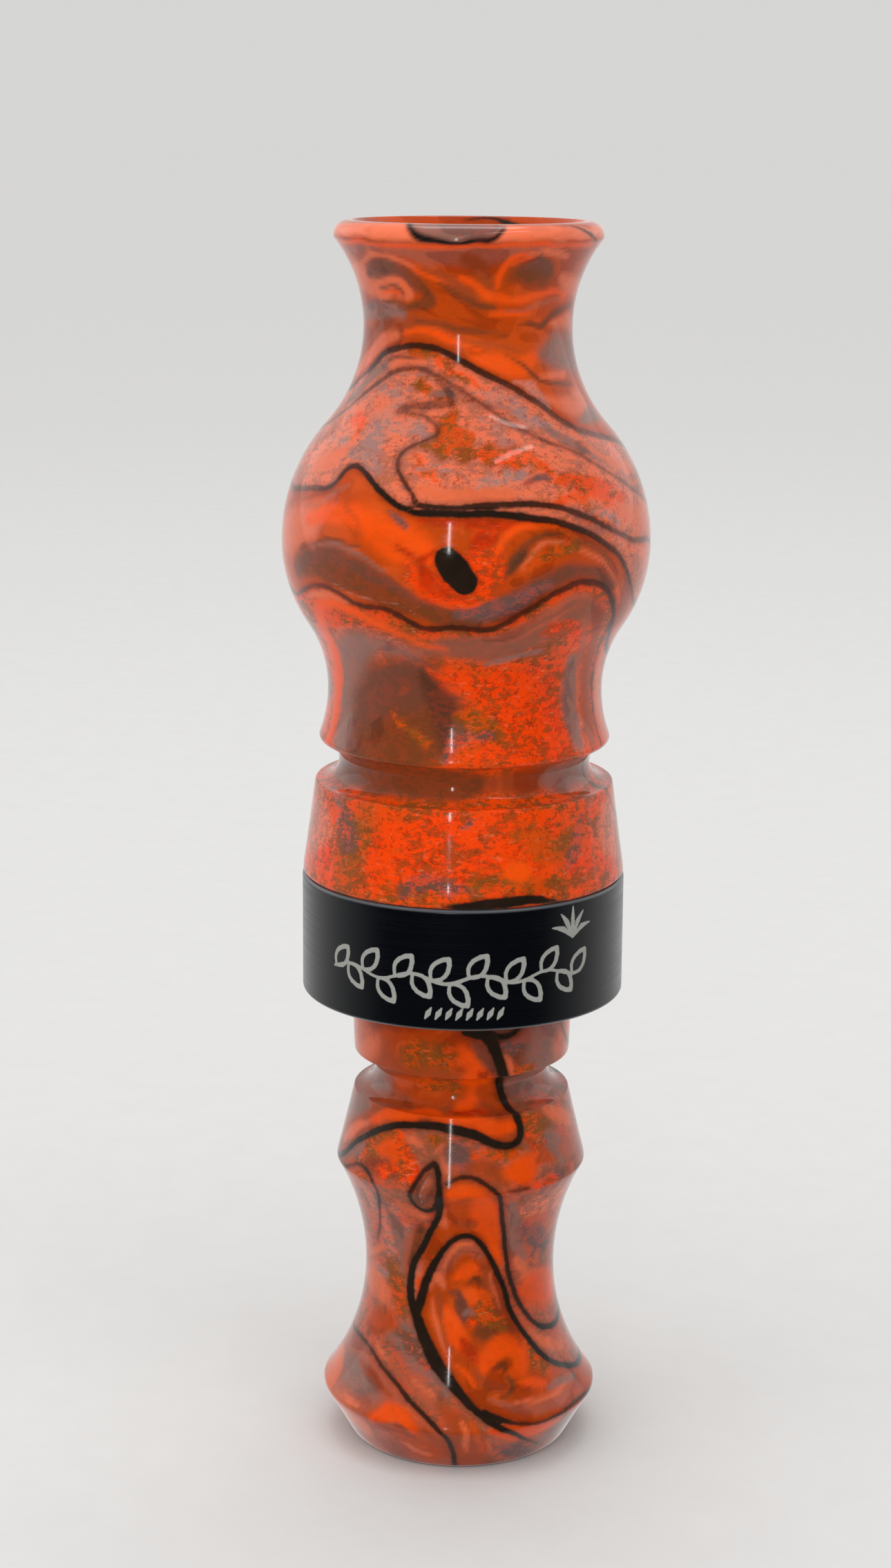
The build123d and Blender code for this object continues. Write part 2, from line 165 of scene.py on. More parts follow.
# Zones are filled from the foot up: each starts at the vein that it names, and has a base colour
# and what is laid on it. A ribbon is its colour, its half-widths in mm and its points. An oval is
# its colour, angle and height, half its angle, half its height in mm and its tilt in degrees.
BARREL_ZONES = [
    (None, "crumb", [
        # Skirt above the band
        ("vivid", (3.0, 4.0, 4.5, 3.6), [(-32, 67.6), (-15, 68.6), (12, 69.2), (26, 69.6)]),
        ("rosy", (2.4, 3.0), [(-82, 68), (-69, 68.6)]),
        ("rosy", (2.4, 3.0), [(68, 69), (84, 68)]),
        ("vivid", (1.0, 2.0, 1.4), [(-62, 66), (-54, 66.4), (-50, 67.6)]),
        ("ochre", (1.5, 2.2, 1.6), [(-48, 65.6), (-43, 69.0), (-38, 72.2)]),
        ("smoke", (0.9, 1.3, 1.0), [(-55, 72.6), (-50, 70.8), (-46, 68.4)]),
        ("smoke", (0.5, 1.0, 0.9, 0.4), [(-22, 64.7), (-14, 65.3), (-5, 65.3), (3, 64.9)]),
        ("ochre", (0.5, 0.9, 0.9, 0.7), [(2, 65.6), (12, 66.1), (22, 65.5), (34, 65.2)]),
        ("ochre", (1.0, 1.7, 1.8, 1.2), [(22, 70.8), (30, 69.2), (38, 68.6), (46, 69.8)]),
        ("smoke", (0.5, 1.0, 0.6), [(40, 66.6), (44, 68.6), (47, 70.6)]),
        ("vivid", (1.0, 1.5, 0.9), [(43, 66.2), (49, 66.4), (54, 65.6)]),
        ("flame", (0.8, 1.0, 0.7), [(17, 66.7), (20, 66.8), (22, 66.9)]),
        ("smoke", (0.5, 0.5), [(1.6, 71.5), (3, 71.7)]),
        ("rust", 90, 67, 16, 4, 20),
        ("vivid", 130, 69, 18, 4, -20),
        ("ochre", 168, 67, 16, 3.5, 10),
        ("vivid", 205, 67, 18, 4, -10),
        ("ochre", 240, 69, 15, 3, 15),
        ("vivid", 268, 66, 14, 3, 0),
        # Lanyard groove: darker than the resin around it, partly the resin's own colours and partly painted
        # shade in the recess
        ("cocoa", (2.0, 2.0, 1.6), [(-75, 75.1), (-35, 75.2), (-6, 75.2)]),
        ("bark", (1.8, 2.0, 1.6), [(-48, 75.3), (-20, 75.3), (4, 75.3)]),
        ("rust", (1.2, 1.6, 1.4), [(14, 75.4), (26, 75.4), (38, 75.4)]),
        ("ash", (1.4, 2.0, 1.6), [(42, 75.2), (55, 75.2), (70, 75.2)]),
        ("bark", 200, 74.9, 34, 1.8, 0),
        # Waist
        ("tan", (0.6, 1.6, 2.0, 2.2, 2.0, 1.4), [
            (-16, 89.4), (-4, 89.8), (10, 89.6), (24, 91.2), (36, 93.4), (46, 92.4),
        ]),
        ("terra", (0.1, 0.3, 0.35, 0.3, 0.1), [(2, 90.9), (14, 91.2), (26, 93.6), (38, 94.9), (47, 93.4)]),
        ("terra", (0.1, 0.22, 0.22, 0.1), [(8, 90.2), (18, 90.8), (28, 92.7), (36, 93.8)]),
        ("vivid", (0.3, 0.7, 0.8, 0.4), [(25, 90.6), (31, 91.8), (37, 91.8), (42, 90.4)]),
        ("ash", (0.3, 0.4, 0.3), [(8, 87.9), (18, 88.4), (28, 88.8)]),
        ("ash", (2.0, 2.6, 2.8, 2.0, 1.2, 0.7), [
            (-56, 79), (-54, 84), (-49, 87.6), (-41, 89.4), (-30, 89.6), (-19, 88.6),
        ]),
        ("cocoa", (2.6, 3.4, 2.4, 1.6), [(-42, 79), (-38, 83.4), (-28, 86.2), (-16, 87)]),
        ("cocoa", (2.4, 3.0, 2.8), [(-30, 80), (-18, 82.4), (-10, 84.6)]),
        ("bark", (2.4, 3.2, 2.8, 1.8), [(-38, 79.0), (-27, 79.2), (-16, 80.0), (-8, 82.4)]),
        ("ochre", (0.2, 0.5, 0.3), [(-30, 81.8), (-22, 80.6), (-14, 79.6)]),
        ("umber", (0.7, 1.3, 1.4, 0.8), [(-16, 86.6), (-11, 84.6), (-8, 82.0), (-6, 79.4)]),
        ("smoke", (0.8, 0.9, 0.5), [(-5, 78.4), (-3, 80.2), (-3, 82)]),
        ("vivid", (0.4, 1.0, 1.6, 2.0, 1.8, 1.2), [
            (-12, 87), (-5, 86.4), (6, 85.6), (16, 85.6), (26, 86), (34, 85.6),
        ]),
        ("vivid", (1.6, 2.6, 2.8, 1.6), [(12, 82.6), (22, 82.6), (33, 82.4), (40, 80.4)]),
        ("vivid", (0.8, 1.2, 1.5, 1.2), [(6, 78.8), (16, 78.8), (28, 79), (42, 79)]),
        ("ochre", (0.7, 1.2, 1.0), [(-2, 82.6), (5, 82), (12, 81.2)]),
        ("smoke", (0.3, 0.6, 0.4), [(-1, 81), (5, 80.4), (10, 80.6)]),
        ("ash", (0.8, 1.3, 1.3, 0.9), [(45, 87.6), (47, 84.4), (49, 81.2), (51, 78.6)]),
        ("rust", (0.5, 0.8, 1.0, 1.0, 0.8), [(46, 93), (52, 90), (56, 86.4), (59, 82.4), (61, 78.4)]),
        ("terra", (0.3, 0.4, 0.3), [(41, 92.2), (48, 88.6), (52, 84)]),
        ("coral", (0.6, 1.0, 1.2), [(66, 88), (72, 82), (76, 78.4)]),
        ("flame", (0.8, 1.1, 1.1, 1.1, 0.9, 0.8, 0.75, 0.7, 0.5, 0.35, 0.1), [
            (-68, 78.4), (-66, 83), (-63, 87), (-59, 90.4), (-53.5, 92.8), (-46, 93.4),
            (-38, 92.7), (-30, 91.8), (-22, 90.8), (-14, 90), (-7, 89.6),
        ]),
        ("coral", (0.3, 0.5, 0.3), [(-60, 93.4), (-50, 94.3), (-40, 93.9)]),
        ("crumb", 88, 82, 10, 6, 20),
        ("cocoa", (0.4, 1.8, 2.4, 2.0, 0.8), [
            (92, 77.4), (100, 79.6), (110, 81.6), (122, 82.8), (134, 82.4),
        ]),
        ("rust", 140, 87, 16, 2.6, 0),
        ("vivid", 172, 78, 20, 6, 0),
        ("cocoa", (0.3, 1.4, 1.8, 1.2, 0.3), [(184, 85.2), (193, 84), (203, 82), (212, 79.8), (224, 78.6)]),
        ("rosy", 236, 84, 16, 7, 0),
        ("ash", (0.5, 2.0, 2.6, 2.2, 0.8), [(240, 78), (250, 80), (262, 82), (274, 83.6), (286, 83)]),
        ("flame", (0.4, 1.1, 0.9, 0.3), [(118, 86), (134, 88.6), (152, 88.6), (170, 86.4)]),
        ("coral", (0.3, 0.9, 0.8, 0.2), [(222, 90.4), (240, 92.2), (258, 91.4), (274, 89.4)]),
    ]),
    ("sill", "amber", [
        ("coral", (2.0, 2.6, 1.8), [(-80, 99), (-68, 100), (-56, 101.4)]),
        ("flame", (0.5, 1.0, 1.2, 0.8), [(-58, 101.6), (-48, 102.4), (-40, 102.6), (-34, 102)]),
        ("terra", (0.15, 0.3, 0.3, 0.15), [(-62, 102.6), (-52, 103.4), (-46, 104.6), (-41, 105.3)]),
        ("bark", (0.1, 0.25, 0.1), [(-40, 103.4), (-35, 102), (-34, 100.6)]),
        ("flame", (0.8, 1.7, 2.2, 2.0, 1.2), [
            (-36, 103), (-28, 101.6), (-20, 100.4), (-13, 98.8), (-9, 97),
        ]),
        ("vivid", (1.2, 2.2, 2.0), [(-16, 97.4), (-5, 95.8), (6, 97)]),
        ("vivid", (1.2, 1.8, 1.2), [(4, 96.6), (6, 98.8), (6, 101)]),
        ("red", (0.25, 0.5, 0.5, 0.3), [(-14, 102.6), (-4, 102.3), (8, 102.2), (18, 102.1)]),
        ("red", (0.3, 0.8, 0.5), [(1, 100), (4, 100.8), (9, 100.9)]),
        ("red", (0.4, 1.0, 0.8, 0.3), [(-13, 98.6), (-11, 96.8), (-6, 95.6), (-1, 95.1)]),
        ("red", (0.1, 0.4, 0.2), [(-22, 100.2), (-15, 99), (-10, 99.8)]),
        ("bark", (0.2, 0.4, 0.4, 0.35, 0.2), [(11, 96.8), (13, 98.8), (17, 100.4), (23, 101), (30, 100.8)]),
        ("umber", (0.2, 0.5, 0.3), [(13, 97.8), (15, 99), (17, 99.8)]),
        ("flame", (0.2, 0.35, 0.4, 0.25, 0.1), [
            (8, 99), (10, 100.6), (14, 101.7), (20, 102.1), (28, 101.7),
        ]),
        ("ochre", (0.5, 0.8, 0.6), [(19, 98.2), (25, 99.4), (33, 99.2)]),
        ("coral", (0.1, 0.2, 0.1), [(16, 98.2), (21, 100.1), (30, 100.1)]),
        ("bark", (0.15, 0.3, 0.3, 0.15), [(33, 100.5), (40, 99.7), (46, 98.4), (51, 96.6)]),
        ("amber", (0.4, 0.6, 0.5, 0.4), [(30, 98.6), (39, 98.6), (47, 97.2), (54, 94.8)]),
        ("coral", (0.12, 0.22, 0.22, 0.15), [(36, 99.4), (44, 98.2), (51, 96), (57, 93)]),
        ("terra", (0.2, 0.6, 0.8), [(56, 95.6), (60, 93.6), (64, 91.6)]),
        ("cocoa", (0.9, 1.4, 1.5, 1.3, 1.2, 1.1, 1.0, 0.9, 0.9, 1.0, 1.0, 0.8, 0.6, 0.4), [
            (-64, 96.2), (-53, 97.4), (-43, 97.9), (-34, 97.2), (-25, 95.9), (-17, 94.4),
            (-8, 93.2), (2, 93), (10, 93.9), (17, 95.4), (25, 96.8), (34, 97.3), (43, 96.9), (50, 95.4),
        ]),
        ("bark", (0.3, 1.0, 1.2, 1.1, 0.9, 0.8, 0.4), [
            (-58, 96.2), (-46, 96.6), (-36, 96.0), (-26, 94.9), (-18, 93.8), (-9, 93.0), (2, 92.7),
        ]),
        ("slate", (0.5, 0.9, 0.9, 0.5), [(-2, 93.3), (7, 93.7), (15, 94.8), (24, 96.4)]),
        ("ash", (0.1, 0.25, 0.2, 0.1), [(-55, 99), (-44, 99.5), (-34, 98.9), (-25, 97.4)]),
        ("bark", (0.1, 0.18, 0.1), [(-60, 98.4), (-46, 99.9), (-33, 99.5)]),
        ("slate", (0.15, 0.4, 0.15), [(-24, 103.4), (-20, 102.6), (-18, 101.8)]),
        ("cocoa", (0.4, 1.4, 1.6, 0.6), [(80, 90.6), (98, 91.6), (118, 93.6), (138, 95)]),
        ("flame", (0.3, 1.0, 1.0, 0.3), [(120, 96), (140, 98.4), (160, 97.6), (182, 94)]),
        ("bark", (0.1, 0.5, 0.3), [(140, 95), (165, 95.6), (186, 93)]),
        ("flame", (0.6, 1.8, 1.2), [(196, 94.6), (212, 97.4), (228, 99.4)]),
        ("cocoa", (0.6, 1.3, 1.1, 0.5), [(222, 96.6), (240, 98.6), (258, 99), (276, 97)]),
        ("terra", (0.3, 0.6, 0.3), [(236, 101), (254, 102.4), (272, 102)]),
    ]),
    ("shelf", "rosy", [
        ("rosy", (1.2, 2.0, 2.0, 1.2), [(-74, 106.6), (-62, 108.6), (-52, 110.4), (-46, 111.8)]),
        # The lilac ribbons below, on the bulb's left, are painted haze: a soft reflection laid into the
        # colour
        ("lilac", (0.4, 0.8, 0.8, 0.4), [(-60, 109.4), (-53, 109.2), (-46, 108.4), (-41, 107.9)]),
        ("glow", (0.5, 1.2, 0.9), [(-58, 111.2), (-51, 111), (-46, 110)]),
        ("coral", (0.7, 1.0, 0.6), [(-64, 106.6), (-56, 107.2), (-50, 108.4)]),
        ("lilac", (1.0, 1.8, 1.6, 0.6), [(-36, 113.6), (-40, 111), (-38, 108.6), (-31, 106.8)]),
        ("lilac", (0.8, 1.2, 0.5), [(-31, 110.6), (-25, 110.8), (-18, 110.4)]),
        ("lilac", (0.3, 0.5, 0.3), [(-46, 114.4), (-38, 114.4), (-30, 114)]),
        ("ochre", (0.3, 0.5, 0.5, 0.3), [(-28, 115), (-20, 115), (-13, 114.4), (-9, 113.6)]),
        ("ash", (0.2, 0.5, 0.4), [(-19, 113.9), (-12, 114.2), (-8, 113.9)]),
        ("ochre", (0.4, 1.0, 1.5, 1.3), [(-7, 113), (-9, 111.6), (-8, 110.3), (-3, 109.6)]),
        ("ochre", (0.5, 0.7, 0.3), [(-17, 109.2), (-10, 109), (-4, 109.2)]),
        ("rosy", (0.6, 1.2, 1.0), [(-1, 113), (3, 111.6), (8, 110)]),
        ("lilac", (0.2, 0.5, 0.3), [(4, 112), (9, 111), (14, 110)]),
        ("coral", (0.5, 0.9, 1.0, 0.6), [(-15, 105.4), (-8, 105.0), (2, 105.0), (14, 104.9)]),
        ("glow", (0.3, 0.7, 0.6), [(-20, 108.4), (-14, 106.8), (-11, 105.8)]),
        ("lilac", (0.2, 0.35, 0.2), [(-17, 107.4), (-11, 107.5), (-6, 107.3)]),
        ("lilac", (0.2, 0.7, 0.8, 0.3), [(2, 106), (9, 106.6), (17, 107.2), (24, 107.8)]),
        ("crumb", (0.6, 1.0, 1.0, 0.6), [(-2, 108.6), (8, 108.9), (18, 108.4), (28, 107.4)]),
        ("glow", (0.2, 0.5, 0.5, 0.3), [(6, 109.7), (14, 109), (22, 107.9), (30, 106.6)]),
        ("slate", (0.2, 0.4, 0.2), [(18, 105.8), (24, 106.6), (29, 106.2)]),
        ("glow", (0.3, 0.6, 0.7, 0.5, 0.3), [
            (24, 104.2), (34, 104.6), (42, 104.6), (50, 103.6), (58, 102),
        ]),
        ("crumb", (0.5, 1.0, 1.0, 0.6), [(30, 106.4), (40, 106), (50, 105), (60, 103.4)]),
        ("lilac", (0.2, 0.5, 0.4), [(42, 103.2), (48, 102.4), (54, 101.6)]),
        ("glow", (0.2, 0.4, 0.2), [(38, 102.8), (46, 101.8), (52, 100.9)]),
        ("coral", (0.6, 1.4, 1.6), [(56, 102.6), (66, 102), (78, 101)]),
        ("ochre", 100, 99.6, 16, 1.2, 0),
        ("vivid", 140, 102.4, 18, 2.4, 18),
        ("crumb", 176, 104, 16, 4.4, 0),
        ("lilac", 212, 104.2, 16, 2.4, 10),
        ("vivid", 245, 106, 18, 2.0, 4),
    ]),
    ("second", "rosy", [
        ("ash", (0.5, 0.8, 0.6, 0.3), [(-72, 112.6), (-60, 114.9), (-50, 116.4), (-42, 117.2)]),
        ("cocoa", (0.2, 0.3, 0.2), [(-46, 117.2), (-37, 117.6), (-26, 117.6)]),
        ("coral", (0.15, 0.3, 0.15), [(-44, 116.9), (-34, 117.2), (-24, 117.1)]),
        ("ochre", (0.3, 0.6, 0.4), [(-34, 117.8), (-24, 117.8), (-14, 117.2)]),
        ("glow", (0.2, 0.5, 0.5, 0.2), [(-18, 117.1), (-8, 116.5), (2, 115.7), (10, 115)]),
        ("ochre", (0.1, 0.3, 0.2), [(-10, 116), (-4, 115.6), (2, 114.9)]),
        ("lilac", (0.2, 0.7, 0.9, 0.8, 0.5), [
            (4, 114.6), (14, 113.6), (24, 112.2), (34, 110.9), (44, 109.6),
        ]),
        ("ash", (0.5, 0.8, 0.7), [(34, 110.8), (46, 109), (58, 107.6)]),
        ("coral", (0.3, 0.6, 0.7), [(48, 109.2), (60, 107.4), (74, 106.2)]),
        ("ochre", 90, 104.8, 18, 2.0, 0),
        ("crumb", 130, 107.6, 16, 2.6, 20),
        ("vivid", 180, 114.6, 20, 1.6, 0),
        ("ochre", 225, 111.2, 20, 1.4, 0),
        ("crumb", 265, 110.8, 18, 1.6, 0),
    ]),
    ("crest", "amber", [
        ("rust", (1.0, 1.6, 1.4, 0.9, 0.4), [
            (-78, 118), (-60, 119.4), (-44, 120.4), (-28, 120.6), (-12, 120.2),
        ]),
        ("coral", (0.6, 0.9, 0.7, 0.4), [(-78, 115.6), (-64, 117.4), (-52, 119), (-42, 119.7)]),
        ("flame", (0.2, 0.4, 0.4, 0.2), [(-36, 119.9), (-22, 120), (-8, 119.4), (6, 118.4)]),
        ("bark", (0.1, 0.25, 0.25, 0.1), [(-28, 121), (-12, 120.7), (4, 120.2), (20, 119.7)]),
        ("rust", (0.1, 0.3, 0.3, 0.1), [(-6, 119.4), (8, 118.9), (22, 118.7), (33, 117.9)]),
        ("flame", (0.4, 1.0, 1.1, 0.5), [(4, 117.6), (16, 117), (27, 116.8), (36, 117.8)]),
        ("bark", (0.1, 0.25, 0.3, 0.3, 0.2), [
            (20, 117.9), (30, 116.9), (38, 115.7), (48, 115), (62, 114.6),
        ]),
        ("lilac", (0.2, 0.6, 0.5), [(22, 115.3), (29, 114.8), (36, 113.4)]),
        ("coral", (0.4, 1.0, 1.3), [(40, 113.6), (52, 112.6), (66, 113)]),
        ("ash", (0.3, 0.8, 0.9), [(56, 111.2), (64, 111.4), (74, 111.8)]),
        # Left eye of the neck
        ("coral", (1.0, 1.7, 1.6, 1.2), [(-78, 125), (-66, 125.4), (-56, 124.6), (-47, 124)]),
        ("ash", (0.6, 0.9, 1.0, 0.7), [(-80, 121.4), (-66, 121.8), (-52, 122.2), (-38, 122)]),
        ("terra", (0.3, 0.4, 0.4, 0.3, 0.3), [
            (-72, 127.8), (-58, 127.9), (-44, 128.1), (-30, 127.6), (-16, 126.4),
        ]),
        ("cocoa", (0.4, 1.15, 1.2, 0.8, 0.6), [
            (-57, 125.6), (-49, 126), (-40, 125.9), (-32, 125.4), (-26, 124.4),
        ]),
        ("bark", (0.2, 0.45, 0.7, 0.7, 0.4, 0.2), [
            (-33, 126.1), (-26, 125), (-21.5, 123.9), (-20, 123.2), (-27, 122.5), (-38, 122.5),
        ]),
        ("coral", (0.2, 0.5, 0.6, 0.4, 0.2), [
            (-50, 124.9), (-41, 125), (-33, 124.4), (-31, 123.5), (-38, 123.4),
        ]),
        ("cocoa", (0.1, 0.22, 0.2, 0.1), [(-50, 124.4), (-42, 124.5), (-35, 124.1), (-35, 123.7)]),
        ("flame", (0.1, 0.2, 0.1), [(-49, 124), (-42, 124), (-37, 123.8)]),
        ("bark", (0.1, 0.22, 0.1), [(-50, 123.1), (-42, 123), (-35, 123.1)]),
        # Folds between the two eyes
        ("terra", (0.8, 1.2, 1.3, 1.2, 0.8), [
            (-34, 128.4), (-16, 127.8), (2, 127.6), (20, 128.2), (40, 128.6),
        ]),
        ("coral", (0.15, 0.3, 0.35, 0.2), [(-62, 126.6), (-50, 127.4), (-38, 127.2), (-27, 126.3)]),
        ("flame", (0.2, 0.3, 0.25, 0.1), [(-26, 126), (-16, 125.4), (-6, 124.9), (2, 124.8)]),
        ("rust", (0.2, 0.5, 0.5, 0.3), [(-22, 126.6), (-12, 125.6), (-4, 124.3), (4, 123.4)]),
        ("bark", (0.1, 0.3, 0.35, 0.2), [(-14, 124.9), (-5, 123.7), (4, 122.9), (14, 122.6)]),
        ("rust", (0.7, 0.9, 0.6, 0.1), [(0, 127.2), (6, 126.2), (9.5, 125), (12, 123.7)]),
        ("flame", (0.2, 0.4, 0.4, 0.3, 0.3, 0.25, 0.2), [
            (-4, 125.4), (4, 124.5), (10, 123.7), (20, 123.4), (34, 123.5), (48, 124), (62, 123.6),
        ]),
        ("flame", (0.2, 0.35, 0.35, 0.2), [(14, 124.4), (15, 125.8), (20, 127), (28, 127.7)]),
        ("coral", (0.3, 0.5, 0.4), [(28, 127.5), (38, 127.9), (50, 127.4)]),
        # Right eye of the neck
        ("bark", (0.2, 1.0, 1.75, 1.5, 0.5), [
            (20, 125.3), (26, 125.8), (32, 125.9), (38, 125.7), (43, 125.6),
        ]),
        ("cocoa", (0.3, 0.9, 0.7), [(28, 126.3), (34, 126.6), (40, 126.2)]),
        ("flame", (0.1, 0.2, 0.1), [(21, 126.6), (26, 127), (31, 127.4)]),
        ("amber", (0.3, 0.6, 0.6, 0.3), [(46, 126.3), (54, 126.3), (62, 125.8), (72, 125.4)]),
        ("coral", (0.5, 1.0, 1.2), [(52, 125.2), (62, 124.6), (76, 124)]),
        ("flame", (0.2, 0.4, 0.2), [(12, 122.1), (22, 122.1), (32, 122.2)]),
        ("terra", (0.1, 0.22, 0.22, 0.1), [(20, 122.4), (34, 122.6), (46, 123), (58, 123.2)]),
        ("bark", (0.1, 0.3, 0.35, 0.4, 0.5, 0.4, 0.3), [
            (25, 120.9), (34, 121), (42, 120.7), (47, 121.3), (54, 122), (62, 122.3), (72, 122.2),
        ]),
        ("coral", (0.2, 0.7, 0.9), [(50, 120.7), (60, 120.8), (72, 120.6)]),
        ("ash", (0.3, 1.3, 1.9, 2.1, 1.9), [(41, 118.3), (47, 118.3), (54, 118), (62, 117.8), (72, 117.6)]),
        ("coral", (0.2, 0.4, 0.4), [(40, 116), (48, 115.8), (58, 115.7)]),
        # Lip, with a painted pale reflection along its rim, and the dark patch on it, whose mauve top is a
        # painted reflection as well
        ("blush", (0.5, 0.9, 0.9, 0.5), [(-110, 129.8), (-40, 129.9), (40, 129.9), (110, 129.8)]),
        ("flame", (0.15, 0.3, 0.3, 0.15), [(-80, 128.6), (-30, 128.5), (30, 128.6), (80, 128.7)]),
        # Painted reflection: the mauve top of the dark patch
        ("ash", (0.5, 1.1, 1.2, 1.1, 0.5), [
            (-26, 130.4), (-16, 130.1), (-5, 130.0), (7, 130.1), (14, 130.4),
        ]),
        ("char", (0.3, 0.45, 0.3, 0.26, 0.3, 0.2), [
            (-29, 130.5), (-25, 129.8), (-17, 129.15), (-4, 128.95), (8, 129.2), (15, 130.2),
        ]),
        ("cocoa", (0.4, 1.8, 2.2, 0.8), [(84, 119.6), (94, 121.4), (104, 122), (118, 121)]),
        ("flame", (0.2, 0.5, 0.5, 0.2), [(84, 124), (100, 124.6), (118, 123.6), (134, 121)]),
        ("rust", (0.4, 1.2, 0.8), [(100, 127), (116, 126.8), (132, 125.4)]),
        ("coral", (0.3, 1.4, 1.2, 0.4), [(118, 117.6), (132, 118.6), (146, 119.4), (160, 118.4)]),
        ("bark", (0.1, 0.4, 0.4, 0.1), [(120, 119.8), (136, 121), (150, 121), (166, 119)]),
        ("cocoa", (0.3, 1.2, 1.3, 0.4), [(146, 125.8), (156, 126.6), (168, 126.6), (180, 125.4)]),
        ("flame", (0.1, 0.3, 0.3, 0.1), [(140, 124.6), (156, 125), (172, 124.6), (188, 123.4)]),
        ("ochre", (0.3, 1.0, 0.6), [(172, 122.6), (186, 123.2), (200, 121.6)]),
        ("flame", (0.4, 1.3, 0.9), [(196, 119.6), (212, 121), (226, 121.6)]),
        ("bark", (0.2, 0.7, 0.7, 0.2), [(214, 123.4), (226, 124.6), (238, 124.6), (252, 123)]),
        ("coral", (0.2, 0.5, 0.4), [(216, 126.2), (234, 127), (252, 126.4)]),
        ("rust", (0.5, 1.6, 1.4), [(240, 117.6), (256, 119.6), (272, 120)]),
    ]),
]

# ---------------------------------------------------------------- resin pattern of the insert

